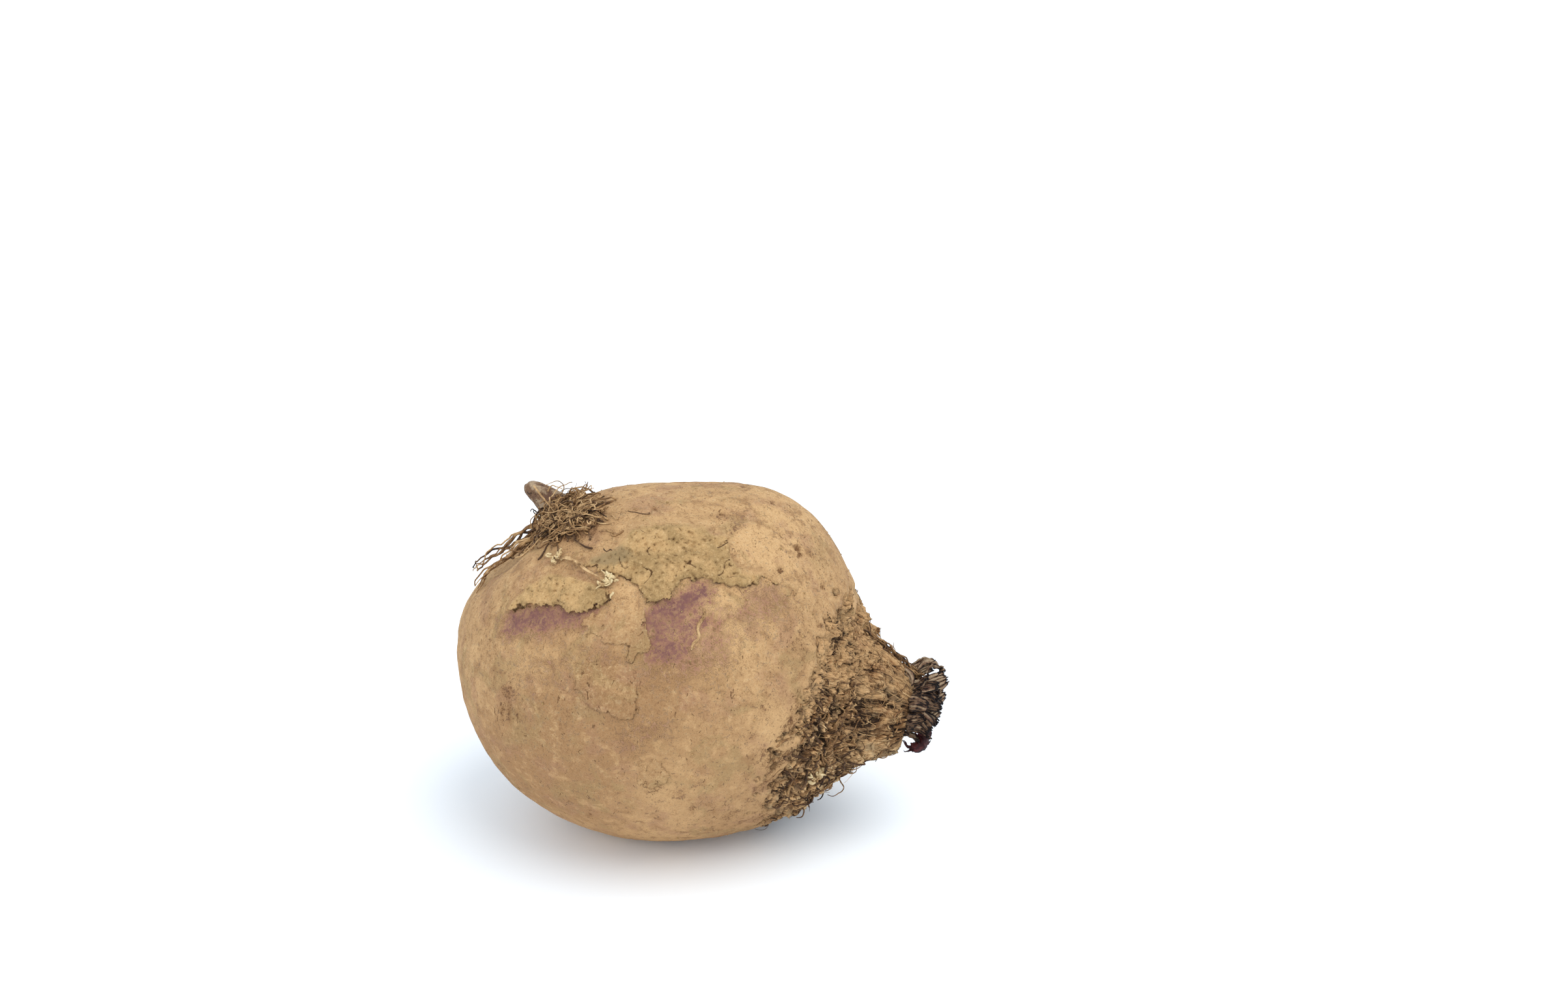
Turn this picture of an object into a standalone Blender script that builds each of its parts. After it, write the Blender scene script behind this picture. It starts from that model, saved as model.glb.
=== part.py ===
"""A storage beetroot, unwashed, lying on its side.

The swollen root, its crown, its tail and the fine side roots on the tail grew as one piece, so they
are one solid. The dead leaf stalks are a second piece on the crown's tip, and two plates of dried
soil cling to the skin. Metres, +Z up. The origin lies under the middle of the whole, on the surface
that the root rests on.

Many places are easiest to give as they are seen from in front and a little above. A sighted place is
(right, up, near): millimetres from the body's centre across that sight, up it, and towards the eye.
"""

import math
import random

import bmesh
import bpy
import numpy as np
from mathutils import Matrix, Vector, noise

MM = 0.001

# The body
BODY_CENTRE = Vector((-9.0, -0.1, 37.3)) * MM
BODY_HALF_LENGTH = 44.5 * MM
BODY_HALF_WIDTH = 38.2 * MM
BODY_SQUARENESS = 1.91
SIGHT_ELEVATION = math.radians(26.05)
SIGHT_BEARING = math.radians(3.75)
BODY_SEGMENTS = 64
BODY_ROWS = 24

# The crown, a concave neck that the leaves grew from
CROWN_NECK_HEIGHT = 13.7 * MM
CROWN_NECK_SPREAD = math.radians(14)
CROWN_NECK_SHAPE = 2.08
CROWN_TIP = 54.5 * MM
TIP_ROWS = (2.6, 5.2)
FLAT_MARGIN = 0.12 * MM

# The scars that the leaves left, collars round the crown whose torn edges face its tip. Their edges
# are in degrees from the crown's axis, and each has three rows: foot, lip, and slope behind the lip.
SCAR_EDGES = (8.8, 12.0, 15.4, 19.0, 23.0, 27.6, 33.0)
SCAR_HEIGHTS = (1.3 * MM, 1.7 * MM, 2.0 * MM, 2.0 * MM, 1.8 * MM, 1.4 * MM, 0.9 * MM)
SCAR_LAST = 39.0
SCAR_ROW_PLACES = (0, 0.16, 0.6)
SCAR_ROW_SHARES = (0, 1, 0.55)
SCAR_WANDER = 2.4
SCAR_WANDER_SCALE = 1.4
SCAR_TEAR = 1.5
SCAR_TEAR_SCALE = 6
SCAR_FLAP_SHARE = 0.35
SCAR_FLAP_CONTRAST = 1.5
SCAR_FLAP_SCALE = 1.9

# The skin between them
LUMP_HEIGHT = 0.7 * MM
LUMP_SIZE = 22 * MM

# The tail
TAPROOT_SIGHTED = (
    (-15.0, 25.0, -1.0),
    (-19.5, 30.2, 2.0),
    (-23.0, 34.0, 4.2),
    (-26.0, 36.6, 5.2),
    (-28.9, 38.4, 6.0),
)
TAPROOT_RADII = (8.5 * MM, 5.6 * MM, 3.3 * MM, 2.3 * MM, 1.3 * MM)
TAPROOT_SIDES = 14

# The fine roots on the tail. They leave it at places counted in stretches between its points.
ROOTLET_COUNT = 38
ROOTLET_PLACES = (0.3, 3.5)
TRAILING_ROOTLET_COUNT = 7
TRAILING_PLACES = (0.9, 2.4)
ROOTLET_RADIUS = 0.45 * MM
ROOTLET_TIP_SHARE = 0.6
ROOTLET_STEP = 1.6 * MM
ROOTLET_LENGTHS = (8 * MM, 16 * MM)
TRAILING_LENGTHS = (14 * MM, 22 * MM)
ROOTLET_CURL = 0.3
ROOTLET_SAG = 0.12
ROOTLET_HUG = 0.16
ROOTLET_CLEARANCES = (0.4 * MM, 3.4 * MM)
ROOTLET_SUNK = 2.5 * MM
ROOTLET_SIDES = 4
FAN_SIGHTED = (0.8, -0.6, 1.0)
FAN_SPREAD = 0.8
TRAIL_SIGHTED = (-30.0, -21.0, 4.0)
TRAIL_PULL = 0.35

# The dead leaf stalks
SEAT_GAP = 0.3 * MM
STALK_CORE_RADIUS = 6.0 * MM
STALK_CORE_TOP_RADIUS = 4.6 * MM
STALK_CORE_HEIGHT = 3.0 * MM
STALK_CORE_SHIFT = 1.1 * MM
STALK_UPWARD_LEAN = math.radians(13)
STALK_WIDTH = 3.4 * MM
STALK_WALL = 0.9 * MM
STALK_STEPS = 5
STALK_SUNK = 0.9 * MM
STALK_LEAN_SPREAD = 9
STALK_CURL = 0.25
STALK_TAPER = 0.07
STALK_RINGS = (
    # count, distance from the crown's axis, lean from it in degrees, length
    (4, 1.9 * MM, 6, 7.4 * MM),
    (9, 4.7 * MM, 14, 6.8 * MM),
)
LIMP_STALK_SIGHTED = ((54.6, -14.6, 5.6), (55.6, -17.4, 6.0), (55.9, -19.8, 6.0), (54.9, -22.2, 5.8))

# The dried soil
SOIL_THICKNESS = 0.9 * MM
SOIL_CELL = 3.0 * MM
SOIL_MERGE = 0.1 * MM
SOIL_LIFT = 0.1 * MM
SOIL_BREAKS = 2
SOIL_RAGGEDNESS = 0.36
SOIL_SIGHTED_NEAR = 30.0
SOIL_TOP_OUTLINE = (
    (-20.4, 20.7), (-16.8, 22.7), (-12.9, 23.6), (-9.1, 26.0), (-5.5, 29.2), (-1.2, 30.6), (4.4, 30.4),
    (9.4, 29.2), (13.9, 27.0), (14.1, 22.5), (16.7, 19.9), (21.3, 18.4), (25.7, 16.5), (23.3, 14.8),
    (20.5, 16.5), (19.7, 14.8), (15.7, 14.2), (12.2, 15.0), (8.5, 16.2), (3.9, 15.6), (1.4, 12.2),
    (-3.1, 11.2), (-4.7, 15.0), (-8.6, 16.7), (-13.4, 18.8),
)  # fmt: skip
SOIL_SIDE_OUTLINE = (
    (-32.4, 11.6), (-30.9, 14.0), (-28.0, 17.1), (-23.3, 19.2), (-19.0, 19.0), (-14.7, 17.2), (-10.2, 14.8),
    (-10.6, 12.1), (-14.1, 10.5), (-17.6, 9.6), (-20.7, 11.3), (-24.7, 11.6), (-28.3, 11.9), (-31.3, 10.6),
)  # fmt: skip

SEED = 20


def sighted(right, up, near):
    """The point, from the body's centre in metres, at a sighted place in millimetres."""
    across = Vector((math.cos(SIGHT_BEARING), math.sin(SIGHT_BEARING), 0))
    away = Vector((-math.sin(SIGHT_BEARING), math.cos(SIGHT_BEARING), 0))
    rise, level = math.sin(SIGHT_ELEVATION), math.cos(SIGHT_ELEVATION)
    upward = Vector((0, 0, up * level + near * rise))
    return (across * right + away * (up * rise - near * level) + upward) * MM


def sighted_direction(turn_degrees, near):
    """The unit direction at a turn from the sight's right hand, leaning towards the eye by near."""
    turn, level = math.radians(turn_degrees), math.sqrt(1 - near * near)
    return sighted(math.cos(turn) * level, math.sin(turn) * level, near).normalized()


CROWN_AXIS = sighted_direction(-13.7, 0.10)
# Direction from the centre, height and spread of each swelling or hollow of the body
SWELLINGS = (
    (sighted_direction(44, 0.15), 5.9 * MM, math.radians(28)),
    (sighted_direction(220, 0.0), 2.0 * MM, math.radians(34)),
    (sighted_direction(141.6, 0.15), -5.1 * MM, math.radians(14.6)),
    (sighted_direction(-49, 0.0), 2.0 * MM, math.radians(20)),
)


def angle_from(directions, axis):
    """Angle of each unit direction from an axis, in radians."""
    return np.arccos(np.clip(directions @ np.array(axis), -1, 1))


def form_radius(directions):
    """Distance from the body's centre to the smooth skin, along unit directions in rows."""
    along = directions @ np.array(CROWN_AXIS)
    across = np.sqrt(np.maximum(0, 1 - along**2))
    barrel = np.abs(along / BODY_HALF_LENGTH) ** BODY_SQUARENESS
    barrel += (across / BODY_HALF_WIDTH) ** BODY_SQUARENESS
    radius = barrel ** (-1 / BODY_SQUARENESS)
    from_crown = angle_from(directions, CROWN_AXIS)
    radius += CROWN_NECK_HEIGHT * np.exp(-((from_crown / CROWN_NECK_SPREAD) ** CROWN_NECK_SHAPE))
    for direction, height, spread in SWELLINGS:
        radius += height * np.exp(-((angle_from(directions, direction) / spread) ** 2))
    return radius


def skin_radius(direction):
    """Distance from the body's centre to the smooth skin along one direction."""
    return float(form_radius(np.array([direction.normalized()]))[0])


def skin_lump(direction):
    """Height of the skin's gentle lumps along one direction."""
    return LUMP_HEIGHT * noise.noise(direction.normalized() * BODY_HALF_WIDTH / LUMP_SIZE)


def new_object(name, mesh, material=None):
    """An object in the beetroot's collection."""
    obj = bpy.data.objects.new(name, mesh)
    bpy.data.collections["beetroot"].objects.link(obj)
    if material:
        mesh.materials.append(material)
    return obj


def apply_modifiers(obj):
    """Replaces the object's mesh by what its modifiers make of it."""
    bpy.context.view_layer.update()
    mesh = bpy.data.meshes.new_from_object(obj.evaluated_get(bpy.context.evaluated_depsgraph_get()))
    obj.modifiers.clear()
    obj.data = mesh


def mesh_from_curve(curve, name):
    """A closed mesh object from a bevelled curve, its caps welded on, and the curve removed."""
    bpy.context.view_layer.update()
    mesh = bpy.data.meshes.new_from_object(curve.evaluated_get(bpy.context.evaluated_depsgraph_get()))
    bm = bmesh.new()
    bm.from_mesh(mesh)
    bmesh.ops.remove_doubles(bm, verts=bm.verts, dist=0.01 * MM)
    bmesh.ops.recalc_face_normals(bm, faces=bm.faces)
    bm.to_mesh(mesh)
    bm.free()
    bpy.data.objects.remove(curve)
    return new_object(name, mesh)


def swept(name, points, radii, sides, section=None):
    """A closed tube through the points, round with that many sides, or with a section curve's shape."""
    curve_data = bpy.data.curves.new(name, "CURVE")
    curve_data.dimensions = "3D"
    curve_data.use_fill_caps = True
    if section:
        curve_data.bevel_mode = "OBJECT"
        curve_data.bevel_object = section
    else:
        curve_data.bevel_depth = 1.0
        curve_data.bevel_resolution = sides // 2 - 2
    spline = curve_data.splines.new("POLY")
    spline.points.add(len(points) - 1)
    for spline_point, point, radius in zip(spline.points, points, radii):
        spline_point.co = (*point, 1)
        spline_point.radius = radius
    return mesh_from_curve(new_object(name, curve_data), name)


def keep_outer_shell(mesh):
    """Removes every shell but the largest, such as a bubble closed in where roots cross."""
    bm = bmesh.new()
    bm.from_mesh(mesh)
    waiting, shells = set(bm.verts), []
    while waiting:
        shell, edge = set(), [waiting.pop()]
        while edge:
            vertex = edge.pop()
            shell.add(vertex)
            near = {link.other_vert(vertex) for link in vertex.link_edges} & waiting
            waiting -= near
            edge += near
        shells.append(shell)
    largest = max(shells, key=len)
    bmesh.ops.delete(bm, geom=[vertex for vertex in bm.verts if vertex not in largest], context="VERTS")
    bm.to_mesh(mesh)
    bm.free()


def join_all(obj, others, solver="MANIFOLD"):
    """Fuses the others into the object with one Boolean union, and removes them."""
    repeats = bpy.data.collections.new("repeats")
    bpy.context.scene.collection.children.link(repeats)
    for other in others:
        bpy.data.collections["beetroot"].objects.unlink(other)
        repeats.objects.link(other)
    union = obj.modifiers.new("union", "BOOLEAN")
    union.operation = "UNION"
    union.operand_type = "COLLECTION"
    union.collection = repeats
    union.solver = solver
    apply_modifiers(obj)
    keep_outer_shell(obj.data)
    for other in others:
        bpy.data.objects.remove(other)
    bpy.data.collections.remove(repeats)


def body_rows():
    """The body's rows from the crown's tip to the far end: degrees from the crown's axis, the number
    of the scar that the row belongs to, and the share of that scar's height that it has."""
    rows = [(angle, None, 0) for angle in TIP_ROWS]
    for scar, (edge, following) in enumerate(zip(SCAR_EDGES, (*SCAR_EDGES[1:], SCAR_LAST))):
        places = [edge + place * (following - edge) for place in SCAR_ROW_PLACES]
        rows += [(place, scar, share) for place, share in zip(places, SCAR_ROW_SHARES)]
    step = (180 - SCAR_LAST) / BODY_ROWS
    rows += [(SCAR_LAST + step * index, None, 0) for index in range(BODY_ROWS)]
    return rows


def round_the_crown(turn, height):
    """A place on a unit circle lifted by a height, to read a noise at."""
    return Vector((math.cos(turn), math.sin(turn), height))


def scar_wander(scar, angle, share, turn):
    """How far in degrees a scar's torn edge wanders from its own angle, at a turn round the crown."""
    wander = SCAR_WANDER * noise.noise(round_the_crown(turn, angle / 28) * SCAR_WANDER_SCALE)
    tear = SCAR_TEAR * noise.noise(round_the_crown(turn, scar * 1.22) * SCAR_TEAR_SCALE)
    return wander + tear * (0.5 if 0 < share < 1 else 1)


def scar_flaps(scar, turn):
    """The share of its height that a scar has at a turn round the crown, where only flaps of it stand."""
    place = round_the_crown(turn, scar * 3.7) * SCAR_FLAP_SCALE
    return min(1, max(0.1, SCAR_FLAP_SHARE + SCAR_FLAP_CONTRAST * noise.noise(place)))


def body_place(sphere_place, rows):
    """The direction from the body's centre, seen from the crown, and the relief's height, of a vertex
    of the unit sphere."""
    row = round(sphere_place.angle(Vector((0, 0, 1))) / math.pi * (len(rows) + 1))
    if row in (0, len(rows) + 1):
        return sphere_place.copy(), 0
    angle, scar, share = rows[row - 1]
    turn = math.atan2(sphere_place.y, sphere_place.x)
    height = 0
    if scar is not None:
        angle += scar_wander(scar, angle, share, turn)
        height = SCAR_HEIGHTS[scar] * share * scar_flaps(scar, turn)
    angle = math.radians(angle)
    return round_the_crown(turn, 0) * math.sin(angle) + Vector((0, 0, math.cos(angle))), height


def flattened(point):
    """The point, drawn onto the crown's cut tip or the surface that the root rests on if it is past it."""
    past = (point - BODY_CENTRE).dot(CROWN_AXIS) - CROWN_TIP
    if past > -FLAT_MARGIN:
        point = point - CROWN_AXIS * past
    if point.z < FLAT_MARGIN:
        point.z = 0
    return point


def make_body(name, material):
    """The swollen root with its crown: a sphere whose rows are drawn out to the form and the scars."""
    rows = body_rows()
    bm = bmesh.new()
    bmesh.ops.create_uvsphere(bm, u_segments=BODY_SEGMENTS, v_segments=len(rows) + 1, radius=1)
    turned = CROWN_AXIS.to_track_quat("Z", "Y").to_matrix()
    places = [body_place(vertex.co, rows) for vertex in bm.verts]
    directions = [(turned @ direction).normalized() for direction, _ in places]
    radii = form_radius(np.array(directions))
    for vertex, direction, radius, (_, height) in zip(bm.verts, directions, radii, places):
        vertex.co = flattened(BODY_CENTRE + direction * (radius + height + skin_lump(direction)))
    mesh = bpy.data.meshes.new(name)
    bm.to_mesh(mesh)
    bm.free()
    return new_object(name, mesh, material)


def off_the_skin(point, clearance):
    """The point, lifted where it would come nearer to the body than the clearance."""
    outward = point - BODY_CENTRE
    least = skin_radius(outward) + clearance
    return BODY_CENTRE + outward.normalized() * max(outward.length, least)


def rootlet_points(draw, start, heading, length, pull):
    """A wandering path that starts inside the root, sags, and lies along the skin."""
    points = [start - heading * ROOTLET_SUNK, start]
    clearance = draw.triangular(*ROOTLET_CLEARANCES, ROOTLET_CLEARANCES[0])
    for _ in range(round(length / ROOTLET_STEP)):
        wander = Vector((draw.gauss(0, 1), draw.gauss(0, 1), draw.gauss(0, 1))) * ROOTLET_CURL
        inward = (BODY_CENTRE - points[-1]).normalized() * ROOTLET_HUG
        heading = (heading + wander + inward + Vector((0, 0, -ROOTLET_SAG)) + pull).normalized()
        points.append(off_the_skin(points[-1] + heading * ROOTLET_STEP, clearance))
    return points


def tail_place(tail, along):
    """The middle, the direction and the radius of the tail at a place counted in its stretches."""
    stretch = min(int(along), len(tail) - 2)
    share = along - stretch
    axis = (tail[stretch + 1] - tail[stretch]).normalized()
    radius = TAPROOT_RADII[stretch] * (1 - share) + TAPROOT_RADII[stretch + 1] * share
    return tail[stretch].lerp(tail[stretch + 1], share), axis, radius


def make_rootlet(name, draw, tail, trailing):
    """One fine root, from the tail's surface outward, thinning to its tip."""
    middle, axis, radius = tail_place(tail, draw.uniform(*(TRAILING_PLACES if trailing else ROOTLET_PLACES)))
    trail = sighted(*TRAIL_SIGHTED).normalized()
    fan = sighted(*[draw.gauss(share, FAN_SPREAD) for share in FAN_SIGHTED])
    towards = trail if trailing else fan
    outward = (towards - axis * towards.dot(axis)).normalized()
    length = draw.uniform(*(TRAILING_LENGTHS if trailing else ROOTLET_LENGTHS))
    pull = trail * TRAIL_PULL if trailing else Vector()
    points = rootlet_points(draw, middle + outward * radius, outward, length, pull)
    radii = np.linspace(ROOTLET_RADIUS, ROOTLET_RADIUS * ROOTLET_TIP_SHARE, len(points))
    return swept(name, points, radii, ROOTLET_SIDES)


def make_rootlets(tail):
    """The fine roots: most round the tail's lower side, some trailing over the blunt end."""
    draw = random.Random(SEED)
    fanned = [make_rootlet(f"fanned_{index:02d}", draw, tail, False) for index in range(ROOTLET_COUNT)]
    trailing = [make_rootlet(f"trailing_{index}", draw, tail, True) for index in range(TRAILING_ROOTLET_COUNT)]
    return fanned + trailing


def make_root(material):
    """The root, its tail and its fine roots as one solid."""
    root = make_body("root", material)
    tail = [BODY_CENTRE + sighted(*place) for place in TAPROOT_SIGHTED]
    taproot = swept("taproot", tail, TAPROOT_RADII, TAPROOT_SIDES)
    join_all(root, [taproot, *make_rootlets(tail)])
    return root


def crown_frame():
    """The stalks' own axes as a matrix: Z leaves the crown's tip, Y is upward, the origin is on the tip."""
    side = Vector((0, 0, 1)).cross(CROWN_AXIS).normalized()
    upward = CROWN_AXIS.cross(side)
    turn = Matrix((-side, upward, CROWN_AXIS)).transposed().to_4x4()
    return Matrix.Translation(BODY_CENTRE + CROWN_AXIS * CROWN_TIP + upward * STALK_CORE_SHIFT) @ turn


def stalk_section():
    """The cut shape of a leaf stalk: a shallow gutter, open upwards."""
    half, wall = 0.5 * STALK_WIDTH, STALK_WALL
    outer = [(-half, 0.35 * half), (-0.7 * half, -0.35 * half), (0, -0.6 * half), (0.7 * half, -0.35 * half)]
    outer += [(half, 0.35 * half)]
    inner = [(x * 0.6, y + wall) for x, y in reversed(outer[1:-1])]
    data = bpy.data.curves.new("stalk_section", "CURVE")
    data.dimensions = "2D"
    spline = data.splines.new("POLY")
    corners = outer + inner
    spline.points.add(len(corners) - 1)
    for point, (x, y) in zip(spline.points, corners):
        point.co = (x, y, 0, 1)
    spline.use_cyclic_u = True
    section = new_object("stalk_section", data)
    section.hide_render = True
    return section


def stalk_points(draw, turn, distance, lean, length):
    """The path of one stub in the crown's frame, leaning outward and curling as it dries."""
    radial = Vector((math.cos(turn), math.sin(turn), 0))
    heading = Vector((0, 0, 1)) * math.cos(lean) + radial * math.sin(lean)
    heading.rotate(Matrix.Rotation(-STALK_UPWARD_LEAN, 3, "X"))
    points = [radial * distance + Vector((0, 0, SEAT_GAP + STALK_SUNK))]
    curl = Vector((draw.uniform(-1, 1), draw.uniform(-1, 1), draw.uniform(-0.6, 0.6))) * STALK_CURL
    for _ in range(STALK_STEPS):
        points.append(points[-1] + heading * length / STALK_STEPS)
        heading = (heading + curl).normalized()
    return points


def make_stalk_core(frame, material):
    """The low core that the dead leaf stalks stand on."""
    bm = bmesh.new()
    bmesh.ops.create_cone(
        bm,
        cap_ends=True,
        segments=22,
        radius1=STALK_CORE_RADIUS,
        radius2=STALK_CORE_TOP_RADIUS,
        depth=STALK_CORE_HEIGHT,
        matrix=frame @ Matrix.Translation((0, 0, SEAT_GAP + STALK_CORE_HEIGHT / 2)),
    )
    mesh = bpy.data.meshes.new("leaf_stalks")
    bm.to_mesh(mesh)
    bm.free()
    return new_object("leaf_stalks", mesh, material)


def make_leaf_stalks(material):
    """The dead leaf stalks: withered gutters in two rings on a low core, and one that hangs limp."""
    draw = random.Random(SEED + 1)
    frame = crown_frame()
    stalks = make_stalk_core(frame, material)
    section = stalk_section()
    stubs = []
    for count, distance, lean, length in STALK_RINGS:
        for index in range(count):
            turn = math.tau * (index + draw.uniform(-0.25, 0.25)) / count
            lean_now = math.radians(lean + draw.uniform(-STALK_LEAN_SPREAD, STALK_LEAN_SPREAD))
            points = stalk_points(draw, turn, distance, lean_now, length * draw.uniform(0.75, 1.15))
            points = [frame @ point for point in points]
            radii = [draw.uniform(0.85, 1.1) * (1 - STALK_TAPER * i) for i in range(len(points))]
            stubs.append(swept(f"stub_{len(stubs):02d}", points, radii, 0, section))
    limp = [BODY_CENTRE + sighted(*place) for place in LIMP_STALK_SIGHTED]
    stubs.append(swept("stub_limp", limp, (0.8, 1.0, 1.1, 0.7), 0, section))
    join_all(stalks, stubs, "EXACT")
    bpy.data.objects.remove(section)
    return stalks


def ragged(outline, draw):
    """The outline with each side broken again and again, each break off the line by a random share."""
    corners = [Vector(corner) for corner in outline]
    for _ in range(SOIL_BREAKS):
        broken = []
        for here, there in zip(corners, corners[1:] + corners[:1]):
            side = there - here
            off = Vector((-side.y, side.x)) * draw.uniform(-0.5, 0.5) * SOIL_RAGGEDNESS
            broken += [here, (here + there) / 2 + off]
        corners = broken
    return corners


def on_the_skin(right, up, lift):
    """The point of the near skin seen at (right, up) millimetres, lifted off it."""
    near = SOIL_SIGHTED_NEAR
    for _ in range(12):
        direction = sighted(right, up, near)
        reach = (skin_radius(direction) + lift) / MM
        near = math.sqrt(max(1.0, reach**2 - right**2 - up**2))
    return BODY_CENTRE + sighted(right, up, near)


def lump_clearance(place):
    """How much the skin's lumps rise at a flat place, so that a plate over them stays clear."""
    return max(0, skin_lump(sighted(place.x / MM, place.y / MM, SOIL_SIGHTED_NEAR))) + SOIL_LIFT


def filled(name, corners):
    """A flat filled mesh from the corners of an outline in millimetres."""
    outline = bpy.data.curves.new(name, "CURVE")
    outline.dimensions = "2D"
    outline.fill_mode = "BOTH"
    spline = outline.splines.new("POLY")
    spline.points.add(len(corners) - 1)
    for point, corner in zip(spline.points, corners):
        point.co = (corner.x * MM, corner.y * MM, 0, 1)
    spline.use_cyclic_u = True
    obj = new_object(name, outline)
    bpy.context.view_layer.update()
    mesh = bpy.data.meshes.new_from_object(obj.evaluated_get(bpy.context.evaluated_depsgraph_get()))
    bpy.data.objects.remove(obj)
    return mesh


def make_soil(name, outline, material, seed):
    """A plate of dried soil: its outline filled, cut into cells, laid on the skin and thickened."""
    corners = ragged(outline, random.Random(seed))
    mesh = filled(name, corners)
    bm = bmesh.new()
    bm.from_mesh(mesh)
    bmesh.ops.dissolve_faces(bm, faces=bm.faces)
    for axis in (0, 1):
        places = [corner[axis] * MM for corner in corners]
        for cut in np.arange(min(places) + SOIL_CELL, max(places), SOIL_CELL):
            normal = Vector((1 - axis, axis, 0))
            everything = bm.verts[:] + bm.edges[:] + bm.faces[:]
            bmesh.ops.bisect_plane(bm, geom=everything, plane_co=normal * float(cut), plane_no=normal)
    bmesh.ops.triangulate(bm, faces=bm.faces)
    bmesh.ops.remove_doubles(bm, verts=bm.verts, dist=SOIL_MERGE)
    for vertex in bm.verts:
        vertex.co = on_the_skin(vertex.co.x / MM, vertex.co.y / MM, SEAT_GAP + lump_clearance(vertex.co))
    bmesh.ops.recalc_face_normals(bm, faces=bm.faces)
    bm.to_mesh(mesh)
    bm.free()
    soil = new_object(name, mesh, material)
    thicken = soil.modifiers.new("thicken", "SOLIDIFY")
    thicken.thickness = SOIL_THICKNESS
    thicken.offset = 1
    return soil


def make_material(name, colour, roughness):
    """A plain material with the piece's own colour."""
    material = bpy.data.materials.new(name)
    material.use_nodes = True
    shader = material.node_tree.nodes["Principled BSDF"]
    shader.inputs["Base Color"].default_value = (*colour, 1)
    shader.inputs["Roughness"].default_value = roughness
    shader.inputs["Metallic"].default_value = 0
    return material


def main():
    for obj in list(bpy.data.objects):
        bpy.data.objects.remove(obj)
    bpy.context.scene.collection.children.link(bpy.data.collections.new("beetroot"))
    make_root(make_material("dusty_skin", (0.47, 0.29, 0.15), 0.85))
    make_leaf_stalks(make_material("dead_stalk", (0.10, 0.06, 0.04), 0.8))
    dried_soil = make_material("dried_soil", (0.45, 0.31, 0.16), 0.95)
    make_soil("soil_plate_top", SOIL_TOP_OUTLINE, dried_soil, SEED + 2)
    make_soil("soil_plate_side", SOIL_SIDE_OUTLINE, dried_soil, SEED + 3)


main()
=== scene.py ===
"""The looks of an unwashed storage beetroot that lies on its side.

Every piece is built over the solids of the frame, which it repeats in finer form: the dusty skin with
its scarred crown, the tail with its fine roots, the dried soil, and the dead leaf stalks. Metres, +Z up.
A sighted place is (right, up, near): millimetres from the root's centre, as a Sight looks at it.
"""

import logging
import math
import random
from dataclasses import dataclass, field
from enum import Enum
from functools import cached_property
from itertools import product
from typing import Sequence

import bpy
import numpy as np
from mathutils import Matrix, Vector, noise
from mathutils.bvhtree import BVHTree


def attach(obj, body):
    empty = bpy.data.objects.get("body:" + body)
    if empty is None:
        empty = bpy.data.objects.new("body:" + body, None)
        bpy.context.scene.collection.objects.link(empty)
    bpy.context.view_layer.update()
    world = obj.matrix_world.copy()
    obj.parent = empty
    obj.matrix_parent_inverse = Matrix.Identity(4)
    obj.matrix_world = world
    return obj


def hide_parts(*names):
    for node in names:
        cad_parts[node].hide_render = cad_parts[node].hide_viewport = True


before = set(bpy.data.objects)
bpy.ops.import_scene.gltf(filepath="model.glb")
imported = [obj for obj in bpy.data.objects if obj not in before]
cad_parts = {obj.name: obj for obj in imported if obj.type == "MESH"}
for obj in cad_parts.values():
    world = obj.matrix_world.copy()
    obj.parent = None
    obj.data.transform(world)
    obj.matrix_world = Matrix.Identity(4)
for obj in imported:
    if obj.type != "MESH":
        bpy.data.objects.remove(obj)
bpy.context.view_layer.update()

Piece, Material = bpy.types.Object, bpy.types.Material
Node, Socket, Tree = bpy.types.Node, bpy.types.NodeSocket, bpy.types.NodeTree

MM = 0.001
BODY = "root"
SEED = 20
SPECULAR = 0.18
SHADE = 0.84  # the finishes' share of full brightness, so that the floor stays white beside them

log = logging.getLogger("beetroot")


class Slot(Enum):
    """The record's material slots."""

    SKIN = "dusty_skin"
    STALK = "dead_stalk"
    SOIL = "dried_soil"


# Small helpers


def linear(red: int, green: int, blue: int) -> tuple[float, float, float, float]:
    """Turns a colour on the usual 0 to 255 scale into Blender's own.

    Args:
        red, green, blue: the colour as a screen shows it.

    Returns:
        The linear colour with a full alpha.
    """
    shares = [channel / 255 for channel in (red, green, blue)]
    return (*[s / 12.92 if s < 0.04045 else ((s + 0.055) / 1.055) ** 2.4 for s in shares], 1.0)


def smooth_step(low: float, high: float, values: np.ndarray) -> np.ndarray:
    """Rises smoothly from 0 at low to 1 at high."""
    share = np.clip((values - low) / (high - low), 0, 1)
    return share * share * (3 - 2 * share)


def only(obj: Piece) -> None:
    """Makes the object the only one that is selected, and the active one.

    Args:
        obj: the object.
    """
    bpy.ops.object.select_all(action="DESELECT")
    obj.select_set(True)
    bpy.context.view_layer.objects.active = obj


def coordinates(obj: Piece) -> np.ndarray:
    """The places of a mesh object's vertices, one a row.

    Args:
        obj: the object.

    Returns:
        An array of three numbers a row.
    """
    places = np.empty(len(obj.data.vertices) * 3)
    obj.data.vertices.foreach_get("co", places)
    return places.reshape(-1, 3)


def move_to(obj: Piece, places: np.ndarray) -> None:
    """Puts a mesh object's vertices at new places."""
    obj.data.vertices.foreach_set("co", np.ascontiguousarray(places).ravel())
    obj.data.update()


def mark(obj: Piece, name: str, values: np.ndarray | float) -> None:
    """Stores a number at every vertex, for the finish to read."""
    attribute = obj.data.attributes.new(name, "FLOAT", "POINT")
    attribute.data.foreach_set("value", np.broadcast_to(values, len(obj.data.vertices)).astype(np.float32))


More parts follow.
